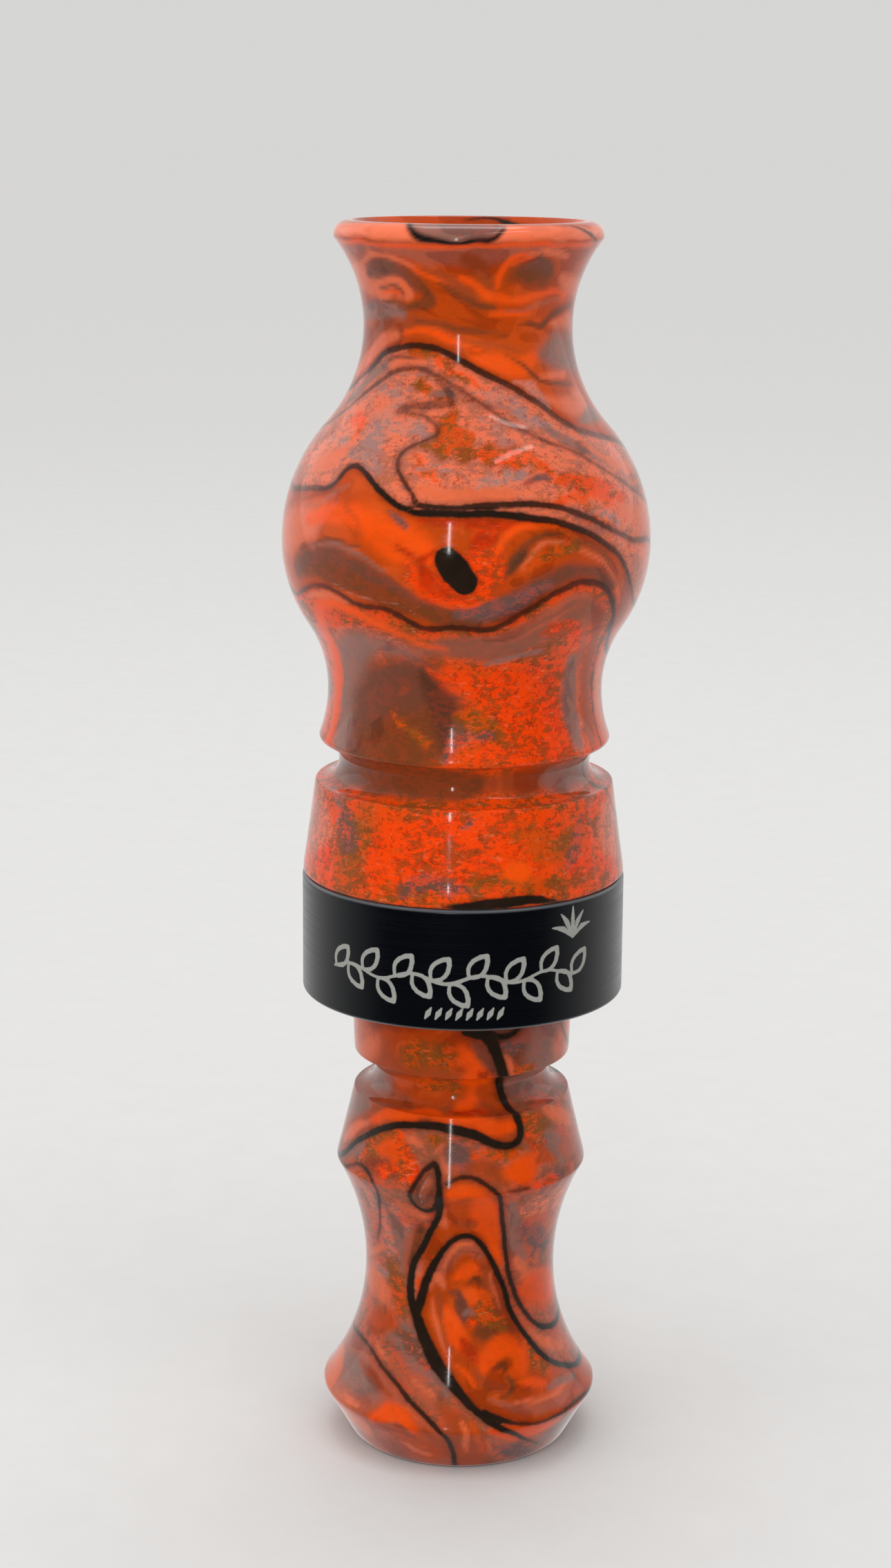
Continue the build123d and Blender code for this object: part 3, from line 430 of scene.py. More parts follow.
INSERT_VEINS = {
    "arch": ((0.9, 0.5, 0.42, 0.55, 0.4, 0.4, 0.36, 0.3, 0.3, 0.25), [
        (4, 48.9), (12, 48.2), (16, 47.0), (19, 45.5), (21.5, 43.8), (25, 41.5),
        (28.5, 39.4), (31, 37.8), (30.5, 36.7), (27, 36.1), (22, 36.1), (15, 36.6),
        (7, 37.4), (-1, 37.95), (-10, 38.2), (-20, 38.2), (-30, 38.0), (-37, 37.6),
        (-45, 36.8), (-53, 35.8), (-60, 34.8), (-66, 33.7), (-73, 32.4), (-84, 31.6),
        (-97, 32.2), (-110, 35), (-122, 39), (-128, 43.4), (-124, 47.4), (-117, 50.6),
    ]),
    "collar_loop": ((0.15, 0.3, 0.4, 0.2), [
        (34, 50.6), (33, 49.4), (29, 48.3), (24, 47.85), (18, 48.0), (13, 48.8),
    ]),
    "left_sprig": ((0.15, 0.25, 0.25, 0.15), [
        (-70, 31.2), (-64, 31.8), (-58, 32.4), (-52, 32.5), (-47, 31.9), (-43.5, 31.0),
        (-44, 29.6), (-47, 27.6), (-51, 25.4), (-56, 23.6),
    ]),
    "teardrop": ((0.3, 0.28, 0.3, 0.36, 0.3), [
        (-13, 34.4), (-18, 33.5), (-21.5, 32.1), (-24, 30.7), (-22, 29.5), (-17, 29.0),
        (-12.5, 29.6), (-10.5, 31.0), (-10.5, 32.6), (-12, 34.0), (-13.5, 34.4),
    ]),
    "trunk": ((0.3, 0.4, 0.4, 0.45, 0.62, 0.78, 0.66, 0.5, 0.42, 0.3, 0.12), [
        (-11, 33.2), (-9.6, 31.6), (-9.8, 29.8), (-12, 28.2), (-15.5, 26.6), (-19.5, 25.0),
        (-24, 23.4), (-28, 21.8), (-30.6, 20.0), (-30.5, 18.2), (-27.5, 16.6),
        (-23, 15.1), (-18.5, 13.6), (-13.5, 12.0), (-8, 10.6), (-2, 9.3), (4, 8.1),
        (10, 6.8), (17, 5.6), (24, 4.4), (32, 3.0), (42, 1.6),
    ]),
    "right_arm": ((0.15, 0.3, 0.25, 0.3, 0.2, 0.22, 0.3, 0.4, 0.3, 0.3, 0.3, 0.25), [
        (174, 22), (171, 18.6), (180, 16.2), (192, 17.2), (200, 20.6), (200, 25), (192, 28.8),
        (178, 31.2), (161, 31.2), (146, 29), (133, 25.4), (122, 21), (108, 17), (90, 14.2),
        (74, 13.2), (62, 13.3), (53, 13.9), (46, 15.0), (40, 16.6), (35, 18.3), (31.5, 20.0),
        (28.5, 22.0), (26, 24.2), (24, 26.2), (21.5, 28.0), (19.5, 29.8), (17, 31.2), (13, 32.2),
        (8, 33.0), (3, 33.3), (-2, 33.1), (-7, 32.4),
    ]),
    "loop": ((0.6, 0.34, 0.34, 0.36, 0.36, 0.36, 0.3, 0.24, 0.22, 0.3, 0.22), [
        (-27, 16.6), (-24, 17.8), (-21.5, 19.6), (-18.5, 21.2), (-13, 23.2), (-7, 24.8),
        (-2, 25.7), (3, 26.1), (8, 25.7), (12, 24.7), (16, 23.5), (20, 22.1), (24, 20.6),
        (27.5, 19.0), (30.5, 17.2), (34, 15.7), (39, 14.0), (44, 12.4), (50, 10.9),
        (58, 9.6), (68, 8.6), (80, 8.0), (96, 8.2), (115, 10.5), (135, 12), (155, 10.4),
        (175, 7.8), (195, 7.2), (215, 8.8), (235, 11), (258, 12),
    ]),
    "lower_arm": ((0.15, 0.18, 0.2, 0.24, 0.26, 0.24, 0.22, 0.24, 0.5), [
        (114, -0.6), (110, 1.2), (100, 3.2), (86, 4.8), (70, 5.6), (58, 5.7), (48, 5.4), (39, 5.3),
        (30, 5.5), (22, 5.9), (16, 6.5), (11, 7.0),
    ]),
    "foot_vein": ((0.2, 0.24, 0.26, 0.3, 0.3), [
        (-102, 12), (-86, 11.6), (-72, 11.7), (-60, 11.5), (-52, 11.1), (-45, 10.4),
        (-38, 9.7), (-31, 8.9), (-25, 8.1), (-19, 7.3), (-13, 6.4), (-8, 5.4), (-5, 4.3),
        (-3.4, 3.0), (-2.6, 1.4), (-2, -0.6),
    ]),
    "side_branch": ((0.12, 0.3, 0.36, 0.3, 0.15), [
        (58, 50.6), (66, 47), (80, 44.4), (98, 42), (113, 38.6), (119, 34.6), (113, 31),
        (100, 28.6), (92, 25.6), (96, 22.6), (106, 21.4),
    ]),
    "back_curl": ((0.2, 0.4, 0.3, 0.4, 0.15), [
        (148, 50.6), (152, 47), (162, 44), (176, 42.4), (190, 40), (198, 36.6), (212, 34.2),
        (228, 33), (238, 29.6), (236, 25), (228, 21), (232, 16.6), (244, 14.2),
    ]),
    "back_foot": ((0.15, 0.3, 0.15), [
        (140, -0.6), (146, 2.4), (158, 4.6), (172, 4.4), (184, 2.4), (192, -0.6),
    ]),
}

INSERT_PALE_VEINS = {
    "teardrop_lining": ((0.05, 0.1, 0.05), [(-15, 33.2), (-18, 31.6), (-19, 30.2), (-16.6, 29.8)]),
}

# Some of the insert's zones lie inside a vein and the corners that close it into a shape
ARCH_CORNERS = [(-117, 52), (4, 52)]
LOOP_CORNERS = [(258, 4), (70, 4.6), (48, 5.4), (30, 5.5), (16, 6.4), (4, 8.1), (-13, 12), (-27, 16)]
FOOT_CORNERS = [(-2, -2), (-102, -2)]

INSERT_ZONES = [
    (None, None, "clay", [
        # Collar and groove, right of the arch
        ("cocoa", (4.0, 5.0, 5.0, 4.0), [(14, 47), (28, 45.6), (44, 45.4), (56, 45.4)]),
        ("bark", (1.4, 2.2, 1.8), [(33, 46.6), (39, 46), (45, 46)]),
        ("ash", (3.0, 3.6, 3.0), [(52, 43.6), (52, 46), (52, 49)]),
        ("coral", (2.4, 4.0), [(70, 45.6), (82, 45.4)]),
        ("coral", (0.25, 0.45, 0.45, 0.15), [(21.5, 45.8), (23.5, 45.2), (26, 44.2), (27.6, 43.2)]),
        ("ochre", (0.4, 0.7, 0.5), [(28, 44.3), (32, 43.9), (38, 44.4)]),
        ("slate", (0.3, 0.8, 0.4), [(20, 46.9), (28, 46.6), (34, 47.4)]),
        ("ash", (1.0, 1.4, 1.4), [(33, 41.2), (46, 41.2), (62, 41.2)]),
        ("terra", (1.2, 1.6), [(66, 41.2), (80, 41.2)]),
        # Between the arch and the middle ridge
        ("ochre", (0.6, 1.3, 1.2, 0.7), [(-57, 33.4), (-50, 34.6), (-44, 35.8), (-36, 36.6)]),
        ("rust", (0.5, 0.9, 0.6), [(-50, 32.9), (-42, 33.2), (-34, 33.2)]),
        ("flame", (0.5, 1.1, 1.2, 0.8), [(-44, 35), (-39, 35.2), (-34, 35.3), (-32.5, 34.4)]),
        ("vivid", (0.3, 0.5, 0.3), [(-42, 33.1), (-37, 33), (-33, 33.4)]),
        ("crumb", (0.5, 1.0, 0.6), [(-31, 36.6), (-28, 35), (-29, 32.8)]),
        ("coral", (0.2, 0.5, 0.3), [(-28, 36.9), (-24, 36.8), (-21, 36.3)]),
        ("vivid", (0.2, 0.5, 0.7, 0.3), [(-26, 35.3), (-24.6, 34.2), (-23.6, 33), (-22.5, 32)]),
        ("ochre", (0.3, 0.8, 0.4), [(-16, 37), (-10, 36.9), (-4, 36.8)]),
        ("coral", (0.2, 0.6, 0.5, 0.3), [(-12, 35.6), (-8, 36), (-7, 34.8), (-7.6, 33.6)]),
        ("cocoa", (0.8, 1.2, 0.8), [(-19.6, 30.4), (-16.6, 31.6), (-14, 33)]),
        ("terra", (0.2, 0.5, 0.3), [(-18.6, 30.6), (-16.6, 31.8), (-15, 32.8)]),
        ("slate", (0.6, 1.3, 1.1, 0.4), [(-5, 35), (-1.6, 35.4), (2, 34.9), (4, 34)]),
        ("vivid", (0.2, 0.4, 0.2), [(4.5, 36), (6, 35.4), (8, 34.9)]),
        ("rust", (0.5, 1.0, 1.0, 0.5), [(4, 34.2), (10, 34.2), (16, 33.4), (20, 32.4)]),
        ("ochre", (0.2, 0.45, 0.5, 0.4), [(9, 36), (17, 35.5), (25, 35.2), (31, 35.4)]),
        ("flame", (0.7, 1.4, 1.5, 1.1), [(22, 33.4), (27, 33.4), (32, 33.6), (35, 34.2)]),
        ("flame", (0.3, 0.6, 0.3), [(26, 32.3), (30, 32.1), (34, 32.6)]),
        ("ochre", (0.8, 1.2, 1.2, 0.6), [(33, 38.4), (39, 38.2), (45, 37.4), (50, 36.4)]),
        ("vivid", (0.3, 0.6, 0.5, 0.3), [(35, 37), (38, 36), (42, 35.6), (46, 36)]),
        ("amber", (0.4, 0.8, 0.5), [(39, 33.9), (44, 34.2), (50, 33.8)]),
        ("vivid", (0.3, 0.5, 0.3), [(36, 31.7), (42, 31.5), (49, 31.6)]),
        ("ash", (0.6, 1.1, 0.8), [(48, 36.2), (53, 35), (56, 33.4)]),
        ("slate", (0.2, 0.5, 0.3), [(46, 32.6), (50, 32.2), (55, 31.8)]),
        ("coral", (0.5, 0.9, 0.8), [(50, 38.6), (60, 37.6), (72, 36.4)]),
        ("terra", (0.8, 1.4, 1.6), [(57, 34), (66, 33.6), (78, 33.4)]),
        ("umber", (0.2, 0.45, 0.3), [(21, 31.5), (26, 31.3), (31, 31.4)]),
        ("ochre", (0.3, 0.7, 0.4), [(-56, 31.6), (-51, 31.5), (-47, 30.9)]),
        ("ash", (0.4, 0.9, 0.6), [(-66, 33), (-60, 33.6), (-56, 34.4)]),
        # Between the trunk and the right arm, over the loop
        ("amber", (2.0, 3.4, 4.0, 3.2), [(-1, 31.6), (3, 30), (5, 28.6), (9, 27.4)]),
        ("flame", (0.6, 0.8, 0.5), [(-4, 31.4), (1, 31.9), (6, 31.6)]),
        ("flame", (0.7, 1.5, 1.5, 1.1, 0.9, 0.5), [
            (8, 31.4), (11, 29.8), (14, 28), (17.5, 26), (20.5, 24), (23, 22.4),
        ]),
        ("rust", (0.4, 0.9, 0.5), [(-3, 27.9), (2, 27.6), (7, 27.6)]),
        ("coral", (0.3, 0.5, 0.4), [(-8, 29.4), (-9.4, 27.4), (-11, 25.4)]),
        ("amber", (0.9, 1.3, 1.2, 0.9, 0.5), [
            (-11, 26.4), (-15, 24.8), (-20, 22.8), (-23.4, 20.8), (-25, 18.6),
        ]),
        ("ochre", (0.4, 0.7, 0.5), [(-14, 23.6), (-18.6, 21.6), (-21, 19.8)]),
        ("flame", (0.2, 0.55, 0.5, 0.2), [(-24, 21.7), (-25, 20.6), (-26, 19.4), (-26.8, 18.4)]),
        # Left of the trunk
        ("coral", (0.5, 0.9, 0.5), [(-34, 29.2), (-27, 28.8), (-20, 28.2)]),
        ("lilac", (1.2, 2.2, 2.6, 2.0, 1.0), [(-48, 29.4), (-44, 27.4), (-40, 25), (-36, 22), (-35, 18.6)]),
        ("ash", (0.3, 0.9, 1.1, 0.8, 0.3), [(-42, 28.4), (-38, 26.4), (-35, 24), (-33, 21.4), (-33, 19)]),
        ("terra", (0.4, 0.9, 0.9, 0.4), [(-23, 27), (-27, 25), (-31, 22.6), (-33, 20.6)]),
        ("bark", (0.2, 0.5, 0.5, 0.2), [(-20.6, 27.4), (-24, 25.6), (-28, 23.7), (-31, 21.9)]),
        ("ochre", (0.5, 1.3, 1.4, 0.9, 0.4), [
            (-44, 21.6), (-42.4, 20), (-40.6, 18.2), (-38.6, 16.6), (-36, 15.2),
        ]),
        ("coral", (1.0, 1.6, 1.4, 0.8), [(-76, 18), (-64, 18.4), (-54, 17.8), (-46, 16.4)]),
        ("coral", (0.3, 0.5, 0.3), [(-68, 21), (-58, 22), (-50, 22.9)]),
        ("lilac", (0.3, 0.7, 0.4), [(-58, 20.2), (-53, 19.6), (-48, 19.9)]),
        ("ash", (0.4, 1.3, 1.7, 1.7, 1.3, 0.9, 0.4), [
            (-45, 13.2), (-38, 14.2), (-32, 13.4), (-26, 12.6), (-19, 11.6), (-12, 10.4), (-6, 9.2),
        ]),
        ("smoke", (0.2, 0.7, 0.8, 0.3), [(-40, 14.4), (-32, 13.8), (-24, 12.8), (-17, 11.4)]),
        ("amber", (0.5, 1.3, 1.5, 1.2, 0.5), [
            (-62, 13.6), (-57, 13.8), (-52, 14.4), (-46, 14.8), (-41, 14.6),
        ]),
        ("ash", (0.2, 0.4, 0.3), [(-13, 11.4), (-9, 10), (-7, 8.6)]),
        ("terra", (0.3, 0.5, 0.5, 0.4), [(-40, 10.7), (-30, 9.9), (-20, 8.9), (-11, 7.6)]),
        ("coral", (0.15, 0.3, 0.15), [(-24, 9.8), (-17, 9.2), (-11, 8.4)]),
        ("coral", (0.1, 0.25, 0.1), [(-52, 11.9), (-46, 11.3), (-41, 10.8)]),
        # Foot, between the trunk and the foot's vein
        ("rust", (0.5, 1.2, 1.9, 2.3, 2.3), [(-8, 7.6), (-2, 6.2), (2, 4.4), (5, 2.2), (8, -0.4)]),
        ("amber", (0.3, 0.7, 0.8), [(4, 6.0), (9, 4.4), (13, 2.8)]),
        ("coral", (0.1, 0.3, 0.3, 0.1), [(0, 6.2), (2, 4.9), (1.6, 3.6), (2.6, 2.4)]),
        ("coral", (0.1, 0.2, 0.1), [(12, 4.4), (14, 3.2), (16, 2.2)]),
        # Under the loop on the right
        ("slate", (0.5, 1.2, 1.4), [(19, 3), (27, 1.8), (36, 0.6)]),
        ("ash", (0.8, 1.6, 1.8), [(42, 2), (54, 2.6), (72, 2.8)]),
        ("flame", (0.3, 0.9, 1.2, 1.2, 0.9, 0.4), [
            (13, 5.5), (19, 5.0), (26, 4.7), (33, 4.5), (40, 4.5), (47, 4.6),
        ]),
        # Right of the right arm
        ("terra", (0.6, 1.2, 1.4, 1.0), [(22, 30), (26, 28), (30, 25.6), (33, 23)]),
        ("ash", (0.5, 1.1, 1.0, 0.6), [(25, 29.4), (29, 27), (34, 24.4), (40, 22.6)]),
        ("rosy", (1.0, 1.6, 1.6), [(34, 28.6), (46, 29), (62, 28.6)]),
        ("slate", (0.4, 1.0, 1.3, 0.8), [(36, 26.4), (44, 25.2), (53, 23.8), (62, 23)]),
        ("coral", (0.4, 0.9, 0.9, 0.6), [(35, 22.4), (40, 21), (48, 20), (58, 19.6)]),
        ("flame", (0.6, 1.9, 2.4, 2.4, 2.2), [(39, 18.6), (45, 18.4), (52, 18.2), (60, 17.8), (70, 17.4)]),
        ("coral", (0.3, 0.6, 0.7), [(44, 13.7), (54, 12), (68, 10.8)]),
        ("crumb", 92, 36, 14, 3, 0),
        ("rust", 92, 19, 12, 2.4, 0),
        ("vivid", 118, 26, 12, 2.6, 0),
        ("cocoa", 150, 22, 14, 3.4, 10),
        ("vivid", 184, 24, 10, 3.4, 0),
        ("amber", 150, 36, 16, 2.6, 0),
        ("lilac", 180, 36, 12, 2, 0),
        ("rust", 140, 45, 16, 3, 0),
        ("amber", 190, 46, 16, 3, 0),
        ("ochre", 216, 28, 12, 3, 0),
        ("coral", 222, 17, 14, 2.4, 0),
        ("vivid", 215, 4, 16, 2.4, 0),
        ("cocoa", 165, 2, 14, 1.6, 0),
        ("flame", (0.4, 1.2, 1.4, 0.6), [(120, 32), (134, 34), (150, 35), (166, 34.4)]),
        ("coral", (0.3, 0.9, 0.9, 0.3), [(200, 39), (214, 38), (230, 36.6), (246, 36)]),
        ("flame", (0.3, 1.0, 0.9, 0.3), [(204, 25), (210, 21), (214, 17), (222, 13)]),
        ("bark", (0.2, 0.8, 0.7, 0.2), [(80, 28), (90, 31), (104, 33), (112, 36)]),
    ]),
    ("arch", ARCH_CORNERS, "rust", [
        ("amber", (1.2, 2.4, 2.6, 1.8), [(-44, 47.4), (-30, 47.6), (-14, 47.4), (-4, 46.6)]),
        ("ochre", (0.6, 1.5, 1.3, 0.6), [(-32, 45.4), (-22, 45.6), (-12, 45.8), (-5, 45)]),
        ("coral", (1.4, 2.6, 2.6), [(-54, 46), (-62, 45.6), (-76, 45.4)]),
        ("flame", (0.5, 1.1, 1.5, 1.6, 1.3, 1.0), [
            (-1, 47), (4, 45.6), (9, 44.2), (8, 42.4), (5, 41), (2, 39.8),
        ]),
        ("red", (0.2, 0.5, 0.3), [(9, 44.2), (11, 43.8), (12, 43.2)]),
        ("cocoa", (0.4, 1.0, 0.9, 0.5), [(5, 47.2), (12, 46.2), (16, 45), (19, 43.6)]),
        ("amber", (0.8, 1.2, 1.0), [(14, 41.4), (19, 41), (24, 40)]),
        ("amber", (0.8, 1.3, 1.3, 0.8), [(-44, 41.4), (-28, 41.3), (-12, 41.2), (0, 41.3)]),
        ("ochre", (0.2, 0.7, 0.5), [(-30, 42), (-18, 42), (-6, 41.8)]),
        ("ash", (0.8, 1.4, 1.2), [(-56, 41), (-66, 41), (-80, 41)]),
        ("flame", (0.5, 0.7, 0.9, 0.8, 0.8, 1.0, 1.0, 0.6), [
            (-51, 37.6), (-42, 38.6), (-31, 39.1), (-19, 39.3), (-5, 39), (8, 38.5), (18, 38.1), (27, 38.2),
        ]),
        ("red", (0.2, 0.4, 0.3), [(-6, 39.6), (4, 39.4), (14, 39.4)]),
        ("coral", (0.4, 0.7, 0.5, 0.2), [(-76, 33.6), (-68, 35.0), (-60, 36.2), (-54, 37.0)]),
        ("rust", (0.3, 0.7, 0.6), [(-60, 38.8), (-50, 39.2), (-40, 40.2)]),
        ("ash", (0.6, 1.4, 1.2), [(-58, 38.8), (-68, 38), (-80, 37)]),
        ("rust", -95, 42, 16, 3, 0),
        ("cocoa", -108, 46, 12, 3, 0),
    ]),
    ("loop", LOOP_CORNERS, "amber", [
        ("terra", (0.8, 1.1, 1.0, 0.9, 0.7), [(-15, 21), (-9, 23), (-2, 24.4), (6, 24.9), (12, 23.8)]),
        ("coral", (0.2, 0.45, 0.5, 0.3), [(-18, 19.2), (-14.6, 20.9), (-11, 20.4), (-9, 19.6)]),
        ("coral", (0.15, 0.3, 0.3, 0.15), [(-9, 22), (-5, 23.6), (0, 24.8), (6, 24.9)]),
        ("flame", (0.3, 0.9, 1.0, 0.9, 0.5), [(-2, 20.6), (3, 21.4), (8, 21.9), (13, 21.2), (16, 20)]),
        ("rust", (0.5, 1.0, 1.2, 0.9), [(14, 22.6), (19, 20.4), (24, 18), (28, 16)]),
        ("coral", (0.1, 0.2, 0.1), [(18, 21.4), (22, 19.4), (26, 17)]),
        ("bark", (0.1, 0.35, 0.4, 0.2), [(5.5, 20), (9, 20.7), (12.6, 20.5), (15, 19.6)]),
        ("flame", (0.5, 1.0, 0.9), [(5, 18.8), (8.6, 18.6), (12, 18.6)]),
        ("ochre", (0.4, 0.8, 0.6), [(12, 17.4), (17, 18.2), (21, 17.4)]),
        ("cocoa", (0.15, 0.35, 0.6, 0.7, 0.4), [(-5, 18.9), (-1, 18.8), (1.6, 18), (2.4, 17), (2, 16)]),
        ("ash", (0.2, 0.4, 0.2), [(3, 16.6), (5.6, 17), (8, 16.6)]),
        ("rust", (0.3, 0.6, 0.6, 0.3), [(-13, 18.6), (-10, 17), (-7, 15), (-5, 13.4)]),
        ("coral", (0.1, 0.25, 0.25, 0.1), [(-17, 18), (-15, 16.4), (-11, 14.6), (-7, 13)]),
        ("flame", (0.3, 0.8, 0.9, 0.7, 0.3), [
            (-6, 17.2), (-4.6, 15.8), (-1.6, 14.6), (2, 13.8), (5, 12.8),
        ]),
        ("vivid", (0.2, 0.5, 0.3), [(5, 15.8), (8, 15.4), (11.6, 15.8)]),
        ("red", (0.2, 0.6, 0.6, 0.2), [(0.6, 14.3), (3.4, 13.5), (6.6, 12.7), (10, 11.8)]),
        ("bark", (0.4, 1.2, 1.2, 0.7), [(9, 14.6), (15, 14.9), (22, 14.8), (29, 14)]),
        ("ochre", (0.4, 0.9, 0.6), [(13, 16.2), (20, 16.4), (27, 15)]),
        ("flame", (0.4, 1.2, 1.3, 1.2, 1.2, 1.0, 0.4), [
            (12, 10.8), (16, 12.2), (22, 13.0), (29, 12.8), (34, 11.8), (33, 10.7), (28, 10.3),
        ]),
        ("bark", (0.15, 0.35, 0.35, 0.15), [(17, 11.0), (20, 11.3), (23, 11.2), (24.6, 10.6)]),
        ("rust", (0.2, 0.5, 0.5, 0.3), [(8, 11), (12, 9.9), (17, 9.2), (23, 9.2)]),
        ("flame", (0.1, 0.3, 0.1), [(-2, 11.6), (3, 10.8), (8, 9.6)]),
        ("bark", (0.1, 0.3, 0.35, 0.2), [(24, 10), (27, 9.4), (26, 8.6), (20, 8.4)]),
        ("flame", (0.3, 0.55, 0.5, 0.2), [(32, 9.1), (37, 9.2), (42, 8.9), (46, 8.6)]),
        ("ochre", (0.5, 1.0, 0.8, 0.5), [(37, 13.4), (41, 12), (46, 10.6), (51, 9.6)]),
        ("terra", (0.2, 0.5, 0.6, 0.5), [(14, 8.2), (26, 7.2), (40, 6.6), (56, 6.7)]),
        ("coral", (0.1, 0.3, 0.35, 0.2), [(27, 7.6), (38, 7.4), (50, 7.4), (62, 7.6)]),
        ("ash", (0.2, 0.5, 0.4), [(46, 8.2), (56, 8.1), (68, 7.6)]),
        ("vivid", 110, 7, 14, 2, 0),
        ("ochre", 150, 8, 16, 1.6, 0),
        ("rust", 200, 5.4, 14, 1.2, 0),
    ]),
    ("foot_vein", FOOT_CORNERS, "terra", [
        ("ash", (0.8, 1.6, 1.4, 0.8), [(-74, 8.6), (-62, 8.4), (-50, 8), (-42, 7.4)]),
        ("rust", (0.2, 0.4, 0.4, 0.2), [(-60, 9.6), (-50, 9), (-42, 8.4), (-34, 7.6)]),
        ("coral", (1.2, 1.8, 1.6), [(-74, 4.6), (-62, 4.4), (-50, 3.4)]),
        ("coral", (0.2, 0.45, 0.3), [(-60, 6.4), (-54, 6.1), (-49, 5.9)]),
        ("amber", (1.0, 1.7, 2.2, 2.0), [(-38, 5), (-31, 5.4), (-23, 4.4), (-16, 2.6)]),
        ("flame", (0.5, 1.1, 1.2, 0.7), [(-38, 5.4), (-33, 6.2), (-26, 6), (-20, 5.2)]),
        ("terra", (0.15, 0.3, 0.25, 0.1), [(-34, 5), (-28, 5.4), (-23, 5), (-21, 4)]),
        ("coral", (0.2, 0.5, 0.3), [(-28, 3), (-21, 2.2), (-15, 1.6)]),
        ("rust", (0.3, 0.6, 0.5), [(-14, 5.4), (-9, 3.8), (-7, 1.8)]),
        ("coral", -84, 6, 14, 3.4, 0),
    ]),
]

# ---------------------------------------------------------------- pattern of the band

# A plain garland of leaves on a wavy stem, a row of short strokes under it and a tuft of reeds.
# Angles are in degrees, heights, lengths and half-widths in mm.
STEM = {"first": -51, "last": 47, "step": 3, "height": 55.8, "wave": 0.45, "turn": 24}
LEAVES = {"first": -50, "last": 41, "count": 15, "length": 2.9, "half_width": 0.86, "lean": 52}
TICKS = {"first": -12, "last": 13, "count": 8, "height": 52.2, "reach": (1.1, 0.6)}
TUFT_FOOT = (41, 59.2)
TUFT_TIPS = [(32, 60.6), (35.6, 61.9), (41, 62.5), (46, 61.8), (49.6, 60.4)]
TUFT_BEND = 0.4
ETCH_WIDTHS = {"stem": (0.12, 0.2, 0.12), "leaf": (0.17, 0.26, 0.17), "tick": (0.08, 0.3, 0.08)}

# ---------------------------------------------------------------- turned meshes

# Vertices round a turned body, and how far apart they are along its outline, in mm
COLUMNS = 288
OUTER_STEP = 0.36
BORE_STEP = 1.2
BAND_COLUMNS = 720
BAND_STEP = 0.16

# An outline that turns by more than the first has a corner, and a mesh shows the second sharp
CORNER_TURN = math.radians(20)
SHARP_TURN = math.radians(25)

# An edge of an outline with both ends inside this radius, in mm, belongs to the bore
BARREL_INSIDE = 10.2
INSERT_INSIDE = 9.1
BAND_INSIDE = 16.0

# About how large the bodies are outside, in mm, and the least share of it that bores count as
BARREL_OUTSIDE = 19
INSERT_OUTSIDE = 13
BAND_OUTSIDE = 17.0
LEAST_RADIUS = 0.4

# What a body's colours are multiplied by. This is painted shade: the lower insert is darkened much more
# than the barrel, as if less light reached it from above
BARREL_PAINTED_SHADE = 0.96
INSERT_PAINTED_SHADE = 0.81

# How the poured colours wander from their curves: each pair is a noise's size and amount in mm.
# The seed isn't 0, which would draw another noise in each run.
WANDER_SEED = 5
VEIN_WANDER = [(3.1, 0.16), (0.9, 0.05)]
CALM_WANDER = [(6.0, 0.4), (2.2, 0.3)]
ROUGH_WANDER = [(5.0, 0.6), (1.9, 0.7), (0.8, 0.5)]

# How far from a line its distance is known, and the spare room that wandering needs, in mm
PATTERN_REACH = 3.6
SPARE_ROOM = 1.5

# How far apart the points of a curve are, in mm, where its angles count as widths at a radius
LINE_SPACING = 0.8
SHAPE_SPACING = 1.0
CURVE_RADIUS = 16

# Colours with more grain than this wander roughly and have ovals with blurred edges, in mm
GRAINY = 0.35
ROUGH_EDGE = 0.5
CALM_EDGE = 0.16

# An oval's edge is blurred a little more than that, up to half of the oval
OVAL_BLUR = 0.05
OVAL_MOST_BLUR = 0.5

# A ribbon's edge is blurred over a share of its half-width, between these two, in mm
RIBBON_EDGE = 0.42
LEAST_EDGE = 0.26
GREATEST_EDGE = 1.3

# The agate bands start to bend this far outside a ribbon, in mm, and at this share of an oval
RIBBON_SLOPE = 1.2
OVAL_SLOPE = 1.9

# Two neighbours on either side of one vein are together no further from its middle than the
# first, in mm, and only jumps that lie within the second of a vein's edge count
SIDE_JUMP = 0.62
JUMP_REACH = 0.8


def outline_of(node):
    """The closed outline of a turned node, in radius and height in mm, read at its mesh's seam."""
    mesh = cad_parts[node].data
    places = np.array([vertex.co[:] for vertex in mesh.vertices]) / MM
    on_seam = (np.abs(places[:, 1]) < 0.001) & (places[:, 0] > 0)
    neighbours = {}
    for edge in mesh.edges:
        first, last = edge.vertices
        if on_seam[first] and on_seam[last]:
            a = (round(places[first, 0], 3), round(places[first, 2], 3))
            b = (round(places[last, 0], 3), round(places[last, 2], 3))
            if a != b:
                neighbours.setdefault(a, set()).add(b)
                neighbours.setdefault(b, set()).add(a)
    start = max(neighbours)
    loop = [start, max(neighbours[start], key=lambda place: place[1])]
    while loop[-1] != start:
        onward = neighbours[loop[-1]] - {loop[-2]}
        loop.append(onward.pop())
    return np.array(loop[:-1])


def arc_tangents(before, here, after):
    """The direction at here of the circle through the three points."""
    back = here - before
    forth = after - here
    back_length = np.linalg.norm(back)
    forth_length = np.linalg.norm(forth)
    direction = back * forth_length / back_length + forth * back_length / forth_length
    return direction / np.linalg.norm(direction)


